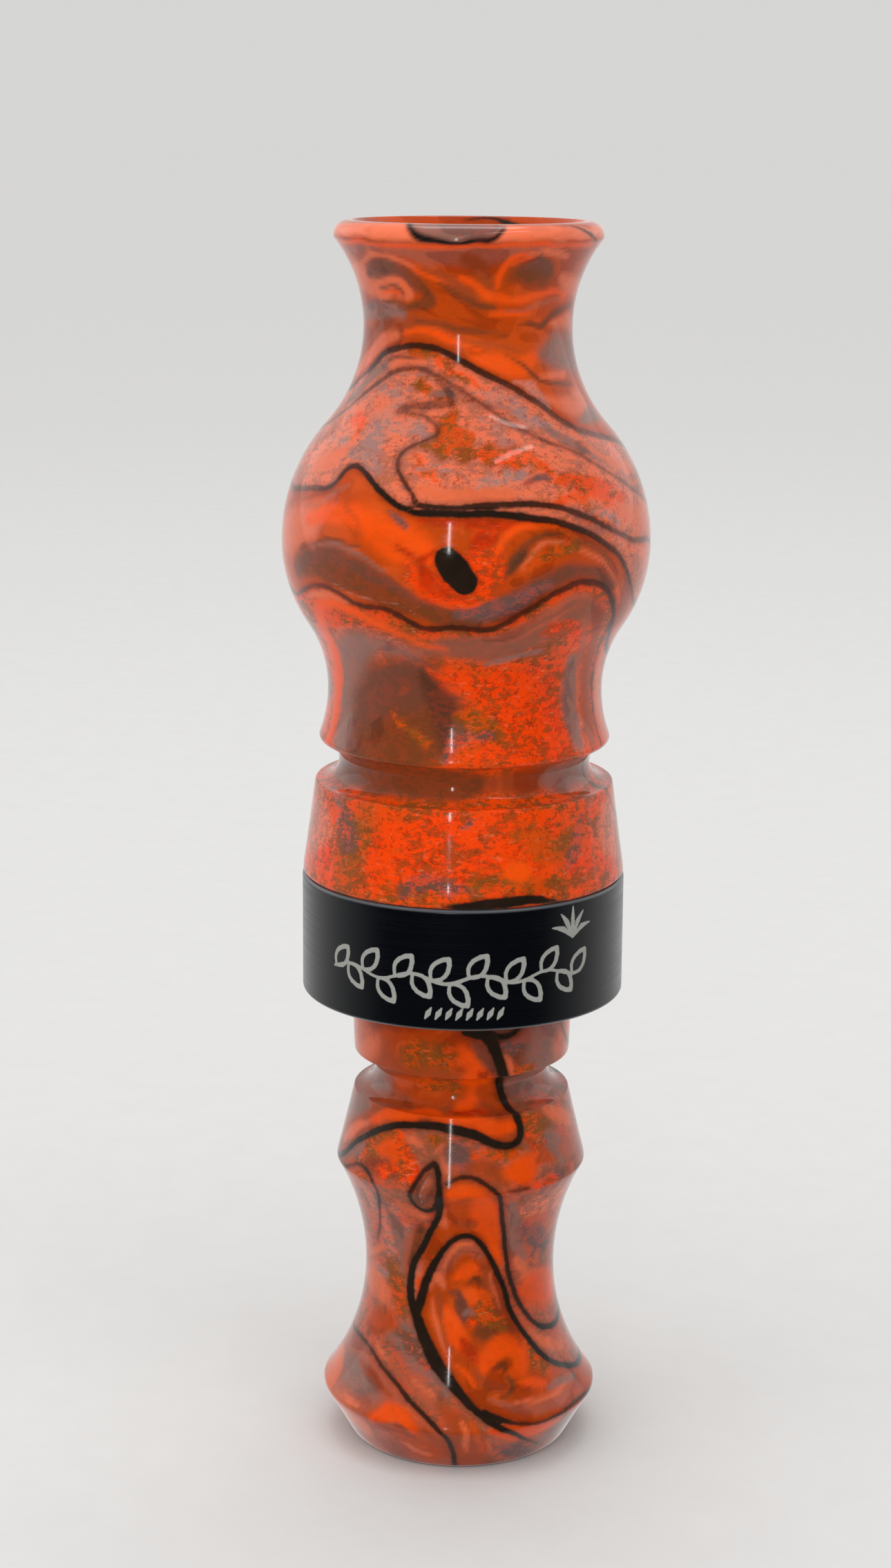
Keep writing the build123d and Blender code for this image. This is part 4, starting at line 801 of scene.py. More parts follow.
def smooth_outline(loop, inside_radius, step):
    """A closed outline with more points along its arcs, a step apart outside its bore."""
    count = len(loop)
    steps = np.roll(loop, -1, axis=0) - loop
    headings = np.arctan2(steps[:, 1], steps[:, 0])
    turns = (headings - np.roll(headings, 1) + math.pi) % (2 * math.pi) - math.pi
    corner = np.abs(turns) > CORNER_TURN
    places = []
    for index in range(count):
        here = loop[index]
        after = loop[(index + 1) % count]
        chord = after - here
        length = np.linalg.norm(chord)
        start_slope = chord / length
        end_slope = chord / length
        if not corner[index]:
            start_slope = arc_tangents(loop[index - 1], here, after)
        if not corner[(index + 1) % count]:
            end_slope = arc_tangents(here, after, loop[(index + 2) % count])
        if corner[index] and not corner[(index + 1) % count]:
            start_slope = 2 * chord / length * np.dot(chord / length, end_slope) - end_slope
        if corner[(index + 1) % count] and not corner[index]:
            end_slope = 2 * chord / length * np.dot(chord / length, start_slope) - start_slope
        in_bore = max(here[0], after[0]) < inside_radius
        pieces = max(1, round(length / (BORE_STEP if in_bore else step)))
        share = np.arange(pieces)[:, None] / pieces
        places.append(
            (2 * share**3 - 3 * share**2 + 1) * here
            + (share**3 - 2 * share**2 + share) * length * start_slope
            + (3 * share**2 - 2 * share**3) * after
            + (share**3 - share**2) * length * end_slope
        )
    return np.clip(np.concatenate(places), loop.min(axis=0), loop.max(axis=0))


def turned_mesh(name, outline, columns):
    """A closed mesh turned from an outline, one ring of vertices for each of its points."""
    rows = len(outline)
    angles = np.radians(np.arange(columns) * 360 / columns - 180)
    places = np.empty((rows, columns, 3))
    places[..., 0] = outline[:, :1] * np.sin(angles)
    places[..., 1] = -outline[:, :1] * np.cos(angles)
    places[..., 2] = outline[:, 1:]
    row = np.arange(rows)[:, None]
    column = np.arange(columns)[None, :]
    next_row = (row + 1) % rows
    next_column = (column + 1) % columns
    corners = [
        row * columns + column,
        row * columns + next_column,
        next_row * columns + next_column,
        next_row * columns + column,
    ]
    faces = np.stack(corners, axis=-1).reshape(-1, 4)
    mesh = bpy.data.meshes.new(name)
    mesh.from_pydata((places.reshape(-1, 3) * MM).tolist(), [], faces.tolist())
    mesh.polygons.foreach_set("use_smooth", np.ones(len(faces), bool))
    mesh.set_sharp_from_angle(angle=SHARP_TURN)
    mesh.update()
    piece = bpy.data.objects.new(name, mesh)
    bpy.context.scene.collection.objects.link(piece)
    return piece, places


# ---------------------------------------------------------------- laying the poured pattern


def curve_through(points, spacing):
    """A smooth curve through points of angle and height, as points about a spacing apart."""
    points = np.array(points, float)
    ends = np.concatenate([[2 * points[0] - points[1]], points, [2 * points[-1] - points[-2]]])
    found = []
    for before, here, after, beyond in zip(ends, ends[1:], ends[2:], ends[3:]):
        width = math.radians(abs(after[0] - here[0])) * CURVE_RADIUS
        count = max(2, round(math.hypot(width, after[1] - here[1]) / spacing))
        for share in np.arange(count) / count:
            found.append(
                here
                + 0.5 * share * (after - before)
                + share**2 * (before - 2.5 * here + 2 * after - 0.5 * beyond)
                + 0.5 * share**3 * (beyond - 3 * after + 3 * here - before)
            )
    found.append(points[-1])
    return np.array(found)


def turned_by(angle):
    """An angle in degrees, brought between -180 and 180."""
    return (angle + 180) % 360 - 180


def eased(share):
    """A share from 0 to 1 that leaves 0 and reaches 1 gently."""
    return share * share * (3 - 2 * share)


def outside_of(outline):
    """The outside of an outline from the foot up, as heights, lengths along it and radii."""
    top = int(np.argmax(outline[:, 1]))
    foot = int(np.argmin(outline[:, 1]))
    order = np.arange(foot, foot + len(outline)) % len(outline)
    rise = outline[order]
    split = int(np.nonzero(order == top)[0][0])
    first, second = rise[: split + 1], rise[split:][::-1]
    outside = first if first[:, 0].mean() > second[:, 0].mean() else second
    steps = np.linalg.norm(np.diff(outside, axis=0), axis=1)
    lengths = np.concatenate([[0], np.cumsum(steps)])
    return np.maximum.accumulate(outside[:, 1]), lengths, outside[:, 0]


def drift(places, wander):
    """How far the poured colours have wandered at each vertex, in mm across and along."""
    across = np.zeros(places.shape[:2])
    along = np.zeros(places.shape[:2])
    for size, amount in wander:
        flat = (places / size).reshape(-1, 3)
        moved = np.array([noise.noise_vector(Vector(place))[:] for place in flat])
        across += amount * moved[:, 0].reshape(across.shape)
        along += amount * moved[:, 2].reshape(along.shape)
    return across, along


class Pattern:
    """Values over a turned surface, laid out by angle and by the length along its outer outline."""

    def __init__(self, outline, places, wander, outer_radius):
        self.radius = np.maximum(outline[:, 0], outer_radius * LEAST_RADIUS)
        self.heights, self.lengths, self.outer_radii = outside_of(outline)
        self.columns = places.shape[1]
        across, along = drift(places, wander)
        angles = np.arange(self.columns) * 360 / self.columns - 180
        self.angle = angles + np.degrees(across / self.radius[:, None])
        self.row_run = self.run_at(outline[:, 1])
        self.run = self.row_run[:, None] + along

    def run_at(self, height):
        """The length along the outside at a height, carried on straight past both ends."""
        below = np.minimum(height - self.heights[0], 0)
        beyond = np.maximum(height - self.heights[-1], 0)
        return np.interp(height, self.heights, self.lengths) + below + beyond

    def window(self, run, angle, reach):
        """The rows and columns that lie within reach, in mm, of a place."""
        rows = np.nonzero(np.abs(self.row_run - run) < reach + SPARE_ROOM)[0]
        if len(rows) == 0:
            return None
        width = math.degrees((reach + SPARE_ROOM) / self.radius[rows].min())
        middle = round((turned_by(angle) + 180) * self.columns / 360)
        half = min(self.columns // 2 - 1, math.ceil(width * self.columns / 360))
        columns = np.arange(middle - half, middle + half + 1) % self.columns
        return np.ix_(rows, columns)

    def line_margin(self, lines):
        """How far inside the lines each vertex is, in mm, and below 0 outside them."""
        return self.line_fields(lines)[0]

    def line_fields(self, lines):
        """Four values for each vertex, taken from the line that it is furthest inside.

        They are how far inside it is, the distance to the line's middle, below 0 on its left,
        the line's half-width and how dark the line is there.
        """
        fields = np.zeros((4,) + self.run.shape)
        fields[0] = -PATTERN_REACH
        fields[1] = PATTERN_REACH
        for half_widths, points, *rest in lines:
            way = curve_through(points, LINE_SPACING)
            depths = rest[0] if rest else (1,)
            spread = [
                np.interp(np.linspace(0, 1, len(way)), np.linspace(0, 1, len(values)), values)
                for values in (half_widths, depths)
            ]
            runs = self.run_at(way[:, 1])
            for index in range(len(way) - 1):
                self.add_segment(fields, way, runs, spread, index)
        return fields

    def add_segment(self, fields, way, runs, spread, index):
        """Brings one short piece of a line into the fields, where it is the nearest so far."""
        place = self.window(runs[index], way[index, 0], PATTERN_REACH)
        if place is None:
            return
        radius = np.broadcast_to(self.radius[:, None], self.run.shape)[place]
        start_across = np.radians(turned_by(way[index, 0] - self.angle[place])) * radius
        start_along = runs[index] - self.run[place]
        across = math.radians(way[index + 1, 0] - way[index, 0]) * radius
        along = runs[index + 1] - runs[index]
        share = -(start_across * across + start_along * along) / (across**2 + along**2 + 1e-9)
        share = np.clip(share, 0, 1)
        distance = np.hypot(start_across + share * across, start_along + share * along)
        side = np.where(start_across * along > start_along * across, 1, -1)
        width, depth = (kind[index] + share * (kind[index + 1] - kind[index]) for kind in spread)
        nearer = width - distance > fields[0][place]
        for field, values in zip(fields, (width - distance, side * distance, width, depth)):
            field[place] = np.where(nearer, values, field[place])

    def above(self, points):
        """Where the surface is above a curve that goes all the way round."""
        way = curve_through(points, SHAPE_SPACING)
        angles = np.concatenate([way[:, 0] - 360, way[:, 0], way[:, 0] + 360])
        runs = np.tile(self.run_at(way[:, 1]), 3)
        order = np.argsort(angles, kind="stable")
        return self.run > np.interp(self.angle, angles[order], runs[order])

    def within(self, points, corners):
        """Where the surface is inside the shape that a curve and some corners enclose."""
        shape = np.concatenate([curve_through(points, SHAPE_SPACING), np.array(corners, float)])
        runs = self.run_at(shape[:, 1])
        inside = np.zeros(self.run.shape, bool)
        for turn in (-360, 0, 360):
            angle = self.angle + turn
            for first in range(len(shape)):
                last = (first + 1) % len(shape)
                low, high = runs[first], runs[last]
                if low == high:
                    continue
                crosses = (self.run < low) != (self.run < high)
                across = shape[last, 0] - shape[first, 0]
                edge = shape[first, 0] + (self.run - low) / (high - low) * across
                inside ^= crosses & (angle < edge)
        return inside

    def oval(self, angle, height, half_angle, half_height, tilt, edge):
        """An oval: its place, its values there, 1 inside and 0 outside, and its wider slopes."""
        run = float(self.run_at(height))
        radius = float(np.interp(run, self.lengths, self.outer_radii))
        half_width = math.radians(half_angle) * radius
        place = self.window(run, angle, OVAL_SLOPE * max(half_width, half_height))
        if place is None:
            return None, None, None
        radii = np.broadcast_to(self.radius[:, None], self.run.shape)[place]
        across = np.radians(turned_by(self.angle[place] - angle)) * radii
        along = self.run[place] - run
        slope = math.radians(tilt)
        x = across * math.cos(slope) + along * math.sin(slope)
        y = along * math.cos(slope) - across * math.sin(slope)
        reach = np.hypot(x / half_width, y / half_height)
        blur = min(OVAL_MOST_BLUR, edge / min(half_width, half_height) + OVAL_BLUR)
        share = np.clip((1 + blur - reach) / (2 * blur), 0, 1)
        return place, eased(share), np.clip(OVAL_SLOPE - reach, 0, RIBBON_SLOPE)

    def ribbon(self, half_widths, points):
        """A ribbon along a curve: its place, its values there and its wider slopes."""
        margin = self.line_margin([(half_widths, points)])
        edge = min(GREATEST_EDGE, max(LEAST_EDGE, RIBBON_EDGE * max(half_widths)))
        share = np.clip(0.5 + margin / (2 * edge), 0, 1)
        return np.s_[:, :], eased(share), np.clip(RIBBON_SLOPE + margin, 0, RIBBON_SLOPE)


def lay(pattern, shape, edge):
    """Where a ribbon or an oval lies: its place, its values there and its wider slopes."""
    if len(shape) == 2:
        return pattern.ribbon(*shape)
    return pattern.oval(*shape, edge)


def paint_zones(calm, rough, zones):
    """The resin's colour, graininess and flow, from areas that each have a base and what is on it."""
    colour = np.zeros(calm.run.shape + (3,))
    grain = np.zeros(calm.run.shape)
    flow = np.zeros(calm.run.shape)
    for area, base, items in zones:
        colour[area], grain[area] = RESIN[base]
        for name, *shape in items:
            tint, grit = RESIN[name]
            if grit > GRAINY:
                place, share, slope = lay(rough, shape, ROUGH_EDGE)
            else:
                place, share, slope = lay(calm, shape, CALM_EDGE)
            if place is None:
                continue
            share = share * area[place]
            colour[place] += share[..., None] * (np.array(tint) - colour[place])
            grain[place] += share * (grit - grain[place])
            flow[place] += slope * area[place]
    return colour, grain, flow


def keep_value(piece, name, values):
    """Stores one number for each vertex under that name."""
    attribute = piece.data.attributes.new(name, "FLOAT", "POINT")
    attribute.data.foreach_set("value", values.astype(np.float32).ravel())


def keep_colour(piece, name, values):
    """Stores one linear colour for each vertex under that name."""
    attribute = piece.data.attributes.new(name, "FLOAT_COLOR", "POINT")
    full = np.ones(values.shape[:-1] + (4,), np.float32)
    full[..., :3] = values
    attribute.data.foreach_set("color", full.ravel())


def side_jumps(side, margin):
    """Where the side of the nearest vein jumps from one vein to another near their edges."""
    jumps = np.zeros(side.shape, bool)
    for shift in ((0, 1), (1, 0), (1, 1), (1, -1)):
        other = np.roll(side, shift, axis=(0, 1))
        jump = (side * other < 0) & (np.abs(side) + np.abs(other) > SIDE_JUMP)
        jumps |= jump | np.roll(jump, (-shift[0], -shift[1]), axis=(0, 1))
    jumps &= margin > -JUMP_REACH
    for _ in range(2):
        along = np.roll(jumps, 1, axis=0) | np.roll(jumps, -1, axis=0)
        across = np.roll(jumps, 1, axis=1) | np.roll(jumps, -1, axis=1)
        jumps |= along | across
    return jumps


def resin_piece(name, outline, outer_radius, veins, pale_veins, zones_of, shade):
    """A turned resin body with its poured pattern, darkened by painted shade, stored on its vertices."""
    piece, places = turned_mesh(name, outline, COLUMNS)
    drawn = Pattern(outline, places, VEIN_WANDER, outer_radius)
    calm = Pattern(outline, places, CALM_WANDER, outer_radius)
    rough = Pattern(outline, places, ROUGH_WANDER, outer_radius)
    margin, side, width, depth = drawn.line_fields(veins.values())
    colour, grain, flow = paint_zones(calm, rough, zones_of(drawn))
    # The colours are darkened by the body's painted shade, much more on the insert
    keep_colour(piece, "resin_colour", colour * shade)
    keep_value(piece, "resin_grain", grain)
    keep_value(piece, "resin_flow", flow)
    keep_value(piece, "resin_vein", margin)
    keep_value(piece, "resin_side", side)
    keep_value(piece, "resin_width", width)
    keep_value(piece, "resin_depth", depth)
    keep_value(piece, "resin_alone", ~side_jumps(side, margin))
    keep_value(piece, "resin_pale", drawn.line_margin(pale_veins.values()))
    return piece


def barrel_zones(pattern):
    """The barrel's zones, each from the vein at its foot upwards."""
    everywhere = np.ones(pattern.run.shape, bool)
    return [
        (everywhere if vein is None else pattern.above(BARREL_VEINS[vein][1]), base, items)
        for vein, base, items in BARREL_ZONES
    ]


def insert_zones(pattern):
    """The insert's zones, each inside its vein and the corners that close it."""
    everywhere = np.ones(pattern.run.shape, bool)
    return [
        (everywhere if vein is None else pattern.within(INSERT_VEINS[vein][1], corners), base, items)
        for vein, corners, base, items in INSERT_ZONES
    ]


def leaf(angle, height, direction):
    """The closed outline of a pointed leaf that grows from a place in a direction, in degrees."""
    sides = [(0, 0), (0.25, -0.8), (0.6, -0.9), (1, 0), (0.6, 0.9), (0.25, 0.8), (0, 0)]
    ahead = Vector((math.cos(math.radians(direction)), math.sin(math.radians(direction))))
    aside = Vector((-ahead.y, ahead.x))
    points = [ahead * x * LEAVES["length"] + aside * y * LEAVES["half_width"] for x, y in sides]
    return [(angle + math.degrees(point.x / BAND_OUTSIDE), height + point.y) for point in points]


def stem_height(angle):
    """The height of the garland's wavy stem at an angle."""
    turn = math.radians(angle * 360 / STEM["turn"])
    return STEM["height"] + STEM["wave"] * math.sin(turn)


def band_lines():
    """The etched lines of the band: a garland, a row of ticks under it and a tuft of reeds."""
    angles = range(STEM["first"], STEM["last"] + 1, STEM["step"])
    stem = [(angle, stem_height(angle)) for angle in angles]
    lines = [(ETCH_WIDTHS["stem"], stem)]
    side = 1
    for angle in np.linspace(LEAVES["first"], LEAVES["last"], LEAVES["count"]):
        lines.append((ETCH_WIDTHS["leaf"], leaf(angle, stem_height(angle), side * LEAVES["lean"])))
        side = -side
    across, along = TICKS["reach"]
    for angle in np.linspace(TICKS["first"], TICKS["last"], TICKS["count"]):
        ends = [(angle - across, TICKS["height"] - along), (angle + across, TICKS["height"] + along)]
        lines.append((ETCH_WIDTHS["tick"], ends))
    for tip in TUFT_TIPS:
        middle = ((TUFT_FOOT[0] + tip[0]) / 2, (TUFT_FOOT[1] + tip[1]) / 2 + TUFT_BEND)
        lines.append((ETCH_WIDTHS["tick"], [TUFT_FOOT, middle, tip]))
    return lines


def band_piece():
    """The band, with its etching and its distance from the edges, for a painted edge highlight, stored on
    its vertices.
    """
    outline = smooth_outline(outline_of("band"), BAND_INSIDE, BAND_STEP)
    piece, places = turned_mesh("band_anodised", outline, BAND_COLUMNS)
    pattern = Pattern(outline, places, [], BAND_OUTSIDE)
    keep_value(piece, "etching", pattern.line_margin(band_lines()))
    from_edge = np.minimum(pattern.run - pattern.run.min(), pattern.run.max() - pattern.run)
    keep_value(piece, "from_edge", from_edge)
    return piece


# ---------------------------------------------------------------- materials


class Surface:
    """A node material with short ways to add and join its nodes."""

    def __init__(self, name, **sockets):
        self.material = bpy.data.materials.new(name)
        self.material.use_nodes = True
        self.tree = self.material.node_tree
        self.shader = self.tree.nodes["Principled BSDF"]
        self.set(sockets)
        place = self.add("ShaderNodeTexCoord").outputs["Object"]
        scale = self.add("ShaderNodeVectorMath", operation="SCALE")
        scale.inputs["Scale"].default_value = 1 / MM
        self.join(place, scale.inputs[0])
        self.place = scale.outputs[0]

    def set(self, sockets):
        """Sets even values of the shader, with an underscore for each space in a socket's name."""
        for name, value in sockets.items():
            self.shader.inputs[name.replace("_", " ")].default_value = value

    def add(self, kind, **settings):
        """A new node with some of its settings."""
        node = self.tree.nodes.new(kind)
        for name, value in settings.items():
            setattr(node, name, value)
        return node

    def join(self, source, target):
        """Links an output to an input, or sets the input when the source is a value."""
        if isinstance(source, bpy.types.NodeSocket):
            self.tree.links.new(source, target)
        else:
            target.default_value = source

    def finish(self, name, source):
        """Links an output to one of the shader's inputs."""
        self.join(source, self.shader.inputs[name])

    def stored(self, name, output="Fac"):
        """What the mesh stores under a name."""
        return self.add("ShaderNodeAttribute", attribute_name=name).outputs[output]

    def math(self, operation, *values):
        """One step of arithmetic."""
        node = self.add("ShaderNodeMath", operation=operation)
        for value, socket in zip(values, node.inputs):
            self.join(value, socket)
        return node.outputs[0]

    def plus(self, first, second):
        return self.math("ADD", first, second)

    def minus(self, first, second):
        return self.math("SUBTRACT", first, second)

    def times(self, first, *others):
        for other in others:
            first = self.math("MULTIPLY", first, other)
        return first

    def noise(self, scale, detail=2.0, roughness=0.5, place=None, fourth=None, distortion=0.0):
        """Noise from 0 to 1, mostly near the middle, whose scale counts its lumps per mm."""
        node = self.add("ShaderNodeTexNoise", noise_dimensions="3D" if fourth is None else "4D")
        self.join(place or self.place, node.inputs["Vector"])
        node.inputs["Scale"].default_value = scale
        node.inputs["Detail"].default_value = detail
        node.inputs["Roughness"].default_value = roughness
        node.inputs["Distortion"].default_value = distortion
        if fourth is not None:
            self.join(fourth, node.inputs["W"])
        return node.outputs["Fac"]

    def waver(self, scale, detail, roughness, amount):
        """Noise on both sides of 0, of an amount in all."""
        return self.times(self.minus(self.noise(scale, detail, roughness), 0.5), amount)

    def range(self, value, low, high, to_low=0.0, to_high=1.0):
        """A value brought from one span to another, eased at both ends."""
        node = self.add("ShaderNodeMapRange", interpolation_type="SMOOTHSTEP")
        for number, socket in zip((value, low, high, to_low, to_high), node.inputs):
            self.join(number, socket)
        return node.outputs[0]

    def mix(self, share, first, second, blend="MIX"):
        """The first colour with a share of the second one in it."""
        node = self.add("ShaderNodeMix", data_type="RGBA", blend_type=blend)
        for value, name in ((share, "Factor_Float"), (first, "A_Color"), (second, "B_Color")):
            socket = next(s for s in node.inputs if s.identifier == name)
            if isinstance(value, tuple):
                value = value + (1.0,)
            self.join(value, socket)
        return next(s for s in node.outputs if s.identifier == "Result_Color")

    def tinted(self, colour, tint):
        """A colour multiplied by another."""
        return self.mix(1.0, colour, tint, "MULTIPLY")

    def stretched(self, x, y, z):
        """The place in mm, multiplied along each axis."""
        node = self.add("ShaderNodeVectorMath", operation="MULTIPLY")
        self.join(self.place, node.inputs[0])
        node.inputs[1].default_value = (x, y, z)
        return node.outputs[0]

    def bump(self, height, distance):
        """Relief of a depth in mm."""
        node = self.add("ShaderNodeBump")
        node.inputs["Distance"].default_value = distance * MM
        node.inputs["Strength"].default_value = 1.0
        self.join(height, node.inputs["Height"])
        self.finish("Normal", node.outputs["Normal"])


# Linear colours of the resin's fine detail. The tints multiply the colour under them.
BAND_TINT = (0.50, 0.42, 0.48)
BAND_GLOW = (0.95, 0.13, 0.02)
BRIGHT_CRUMB = (0.92, 0.068, 0.002)
BRIGHT_PINK_CRUMB = (0.92, 0.175, 0.075)
DULL_CRUMB = (0.28, 0.080, 0.014)
DULL_TINT = (0.4, 0.6, 0.8)
DULL_PINK_TINT = (0.72, 0.84, 1.0)
OCHRE_CRUMB = (0.33, 0.085, 0.008)
PALE_CRUMB = (0.85, 0.27, 0.12)
SCORCHED_FLECK = (0.22, 0.016, 0.002)
VEIN_HALO_TINT = (0.45, 0.40, 0.42)
VEIN_BLACKS = ((0.008, 0.006, 0.004), (0.028, 0.014, 0.008))
PALE_VEIN = (0.42, 0.22, 0.18)


def agate_bands(surface, colour, grain, red, is_warm):
    """The colour with dark and glowing bands along the veins.

    The distance to a vein or a ribbon is the noise's fourth direction, so its bands follow them.
    """
    flow = surface.times(surface.stored("resin_flow"), 2.6)
    course = surface.plus(flow, surface.times(surface.stored("resin_vein"), 0.9))
    bands = surface.noise(0.13, 2.5, 0.55, fourth=course, distortion=0.3)
    calm = surface.minus(1.0, surface.times(grain, 0.75))
    weaker_on_red = surface.range(red, 0.8, 0.4, 0.3, 1.0)
    darker = surface.times(surface.range(bands, 0.46, 0.40), weaker_on_red, calm, 0.6)
    lighter = surface.times(surface.range(bands, 0.55, 0.62), is_warm, calm, 0.5)
    colour = surface.mix(darker, colour, surface.tinted(colour, BAND_TINT))
    return surface.mix(lighter, colour, surface.mix(0.55, colour, BAND_GLOW))


def crumbs(surface, colour, grain, is_pink):
    """The colour with bright, dull, ochre and pale crumbs, longer across than along, and flecks."""
    flat = surface.stretched(1.0, 1.0, 1.7)
    fine = surface.noise(0.85, 6.0, 0.8, place=flat, distortion=0.5)
    mixed = surface.plus(fine, surface.waver(0.3, 2.0, 0.6, 0.5))
    bright = surface.mix(0.85, colour, BRIGHT_CRUMB)
    bright = surface.mix(is_pink, bright, surface.mix(0.75, colour, BRIGHT_PINK_CRUMB))
    dull = surface.mix(0.6, surface.tinted(colour, DULL_TINT), DULL_CRUMB)
    dull = surface.mix(is_pink, dull, surface.tinted(colour, DULL_PINK_TINT))
    ochre = surface.mix(0.7, colour, OCHRE_CRUMB)
    pale = surface.mix(0.5, colour, PALE_CRUMB)
    is_bright = surface.range(mixed, 0.50, 0.53)
    is_dull = surface.range(mixed, 0.485, 0.455)
    is_ochre = surface.range(surface.noise(0.7, 4.0, 0.75, place=flat), 0.57, 0.60)
    flatter = surface.stretched(0.7, 0.7, 1.9)
    is_pale = surface.range(surface.noise(1.3, 3.0, 0.7, place=flatter), 0.60, 0.66)
    is_fleck = surface.range(surface.noise(1.6, 3.0, 0.7), 0.58, 0.62)
    colour = surface.mix(surface.times(is_bright, grain, 0.9), colour, bright)
    colour = surface.mix(surface.times(is_dull, grain, 0.95), colour, dull)
    colour = surface.mix(surface.times(is_ochre, grain, 0.6), colour, ochre)
    colour = surface.mix(surface.times(is_pale, grain, 0.6), colour, pale)
    scorched = surface.mix(0.7, colour, SCORCHED_FLECK)
    return surface.mix(surface.times(is_fleck, grain, 0.7), colour, scorched)


def veined(surface, colour):
    """The colour with dark veins that waver a little, a faint halo along them, and pale veins."""
    margin = surface.stored("resin_vein")
    width = surface.stored("resin_width")
    side = surface.math("ABSOLUTE", surface.stored("resin_side"))
    waver = surface.waver(1.3, 3.0, 0.6, 0.3)
    reach = surface.times(surface.range(width, 0.35, 0.6, 0.2, 0.0), surface.stored("resin_alone"))
    near = surface.math("MINIMUM", surface.minus(width, side), surface.plus(margin, reach))
    edge = surface.plus(near, waver)
    halo = surface.times(surface.range(edge, -0.55, -0.05), 0.35)
    colour = surface.mix(halo, colour, surface.tinted(colour, VEIN_HALO_TINT))
    black = surface.mix(surface.noise(0.7, 3.0), *VEIN_BLACKS)
    density = surface.times(surface.range(width, 0.12, 0.36, 0.62, 1.0), surface.stored("resin_depth"))
    colour = surface.mix(surface.times(surface.range(edge, -0.14, 0.18), density), colour, black)
    pale_edge = surface.plus(surface.stored("resin_pale"), waver)
    pale_share = surface.times(surface.range(pale_edge, -0.1, 0.05), 0.4)
    return surface.mix(pale_share, colour, PALE_VEIN)


def resin_material():
    """Polished poured resin: bands, crumbs and veins over the colours that its mesh stores."""
    surface = Surface("poured_resin", IOR=1.5)
    colour = surface.stored("resin_colour", "Color")
    grain = surface.stored("resin_grain")
    parts = surface.add("ShaderNodeSeparateColor")
    surface.join(colour, parts.inputs[0])
    red = parts.outputs["Red"]
    is_warm = surface.range(red, 0.3, 0.45)
    is_pink = surface.times(surface.range(parts.outputs["Blue"], 0.02, 0.06), is_warm)
    colour = agate_bands(surface, colour, grain, red, is_warm)
    colour = crumbs(surface, colour, grain, is_pink)
    surface.finish("Base Color", veined(surface, colour))

    # Faint polishing marks in the gloss
    marks = surface.noise(2.2, 4.0, 0.6, place=surface.stretched(0.5, 0.5, 3.0))
    surface.finish("Roughness", surface.range(marks, 0.3, 0.75, 0.05, 0.14))
    return surface.material


ANODISED_BLACKS = ((0.0002, 0.0008, 0.0024), (0.0006, 0.0016, 0.0040))
ETCHED_GREYS = ((0.26, 0.26, 0.24), (0.38, 0.38, 0.35))
# The last colour is a painted highlight along the band's top and bottom edges, paler than the anodising
PAINTED_EDGE_HIGHLIGHT = (0.10, 0.11, 0.12)


def anodised_material():
    """Near-black anodised aluminium with fine turning lines, a painted highlight along its edges and a pale
    etching.
    """
    surface = Surface("black_anodised", IOR=1.6)
    black = surface.mix(surface.noise(0.25, 2.0), *ANODISED_BLACKS)
    # Within 0.3 to 0.6 mm of either edge, the black turns into the painted edge highlight
    black = surface.mix(surface.range(surface.stored("from_edge"), 0.6, 0.3), black, PAINTED_EDGE_HIGHLIGHT)
    line = surface.plus(surface.stored("etching"), surface.waver(3.0, 2.0, 0.5, 0.08))
    etched = surface.range(line, -0.04, 0.04)
    pale = surface.mix(surface.noise(4.0, 3.0), *ETCHED_GREYS)
    surface.finish("Base Color", surface.mix(etched, black, pale))
    lines = surface.noise(1.0, 3.0, 0.6, place=surface.stretched(0.02, 0.02, 7.0))
    smooth = surface.range(lines, 0.3, 0.7, 0.2, 0.32)
    surface.finish("Roughness", surface.plus(smooth, surface.times(etched, 0.25)))
    surface.bump(lines, 0.0015)
    return surface.material


def rubber_material():
    """Black nitrile rubber, with a bloom of grease and dust."""
    surface = Surface("nitrile_rubber", Specular_IOR_Level=0.4)
    bloom = surface.noise(1.4, 4.0, 0.65)
    surface.finish("Base Color", surface.mix(bloom, (0.008, 0.008, 0.009), (0.03, 0.03, 0.03)))
    surface.finish("Roughness", surface.range(bloom, 0.35, 0.7, 0.42, 0.68))
    surface.bump(surface.noise(9.0, 3.0), 0.01)
    return surface.material


def acetal_material():
    """Black machined acetal, with the rings that the tool left."""
    surface = Surface("machined_acetal", IOR=1.48)
    rings = surface.noise(1.0, 3.0, 0.7, place=surface.stretched(0.03, 0.03, 5.0))
    wear = surface.noise(0.6, 4.0, 0.6)
    surface.finish("Base Color", surface.mix(wear, (0.010, 0.010, 0.011), (0.022, 0.022, 0.023)))
    surface.finish("Roughness", surface.range(rings, 0.3, 0.7, 0.32, 0.5))
    surface.bump(rings, 0.008)
    return surface.material


def film_material():
    """Clear polyester reed stock, a little cloudy from handling."""
    surface = Surface("polyester_film", IOR=1.57, Transmission_Weight=0.8, Specular_IOR_Level=0.5)
    cloud = surface.noise(0.5, 4.0, 0.6)
    scratches = surface.noise(1.6, 4.0, 0.7, place=surface.stretched(6.0, 6.0, 0.4))
    surface.finish("Base Color", surface.mix(cloud, (0.86, 0.90, 0.91), (0.70, 0.76, 0.79)))
    surface.finish("Roughness", surface.range(scratches, 0.35, 0.75, 0.12, 0.38))
    return surface.material


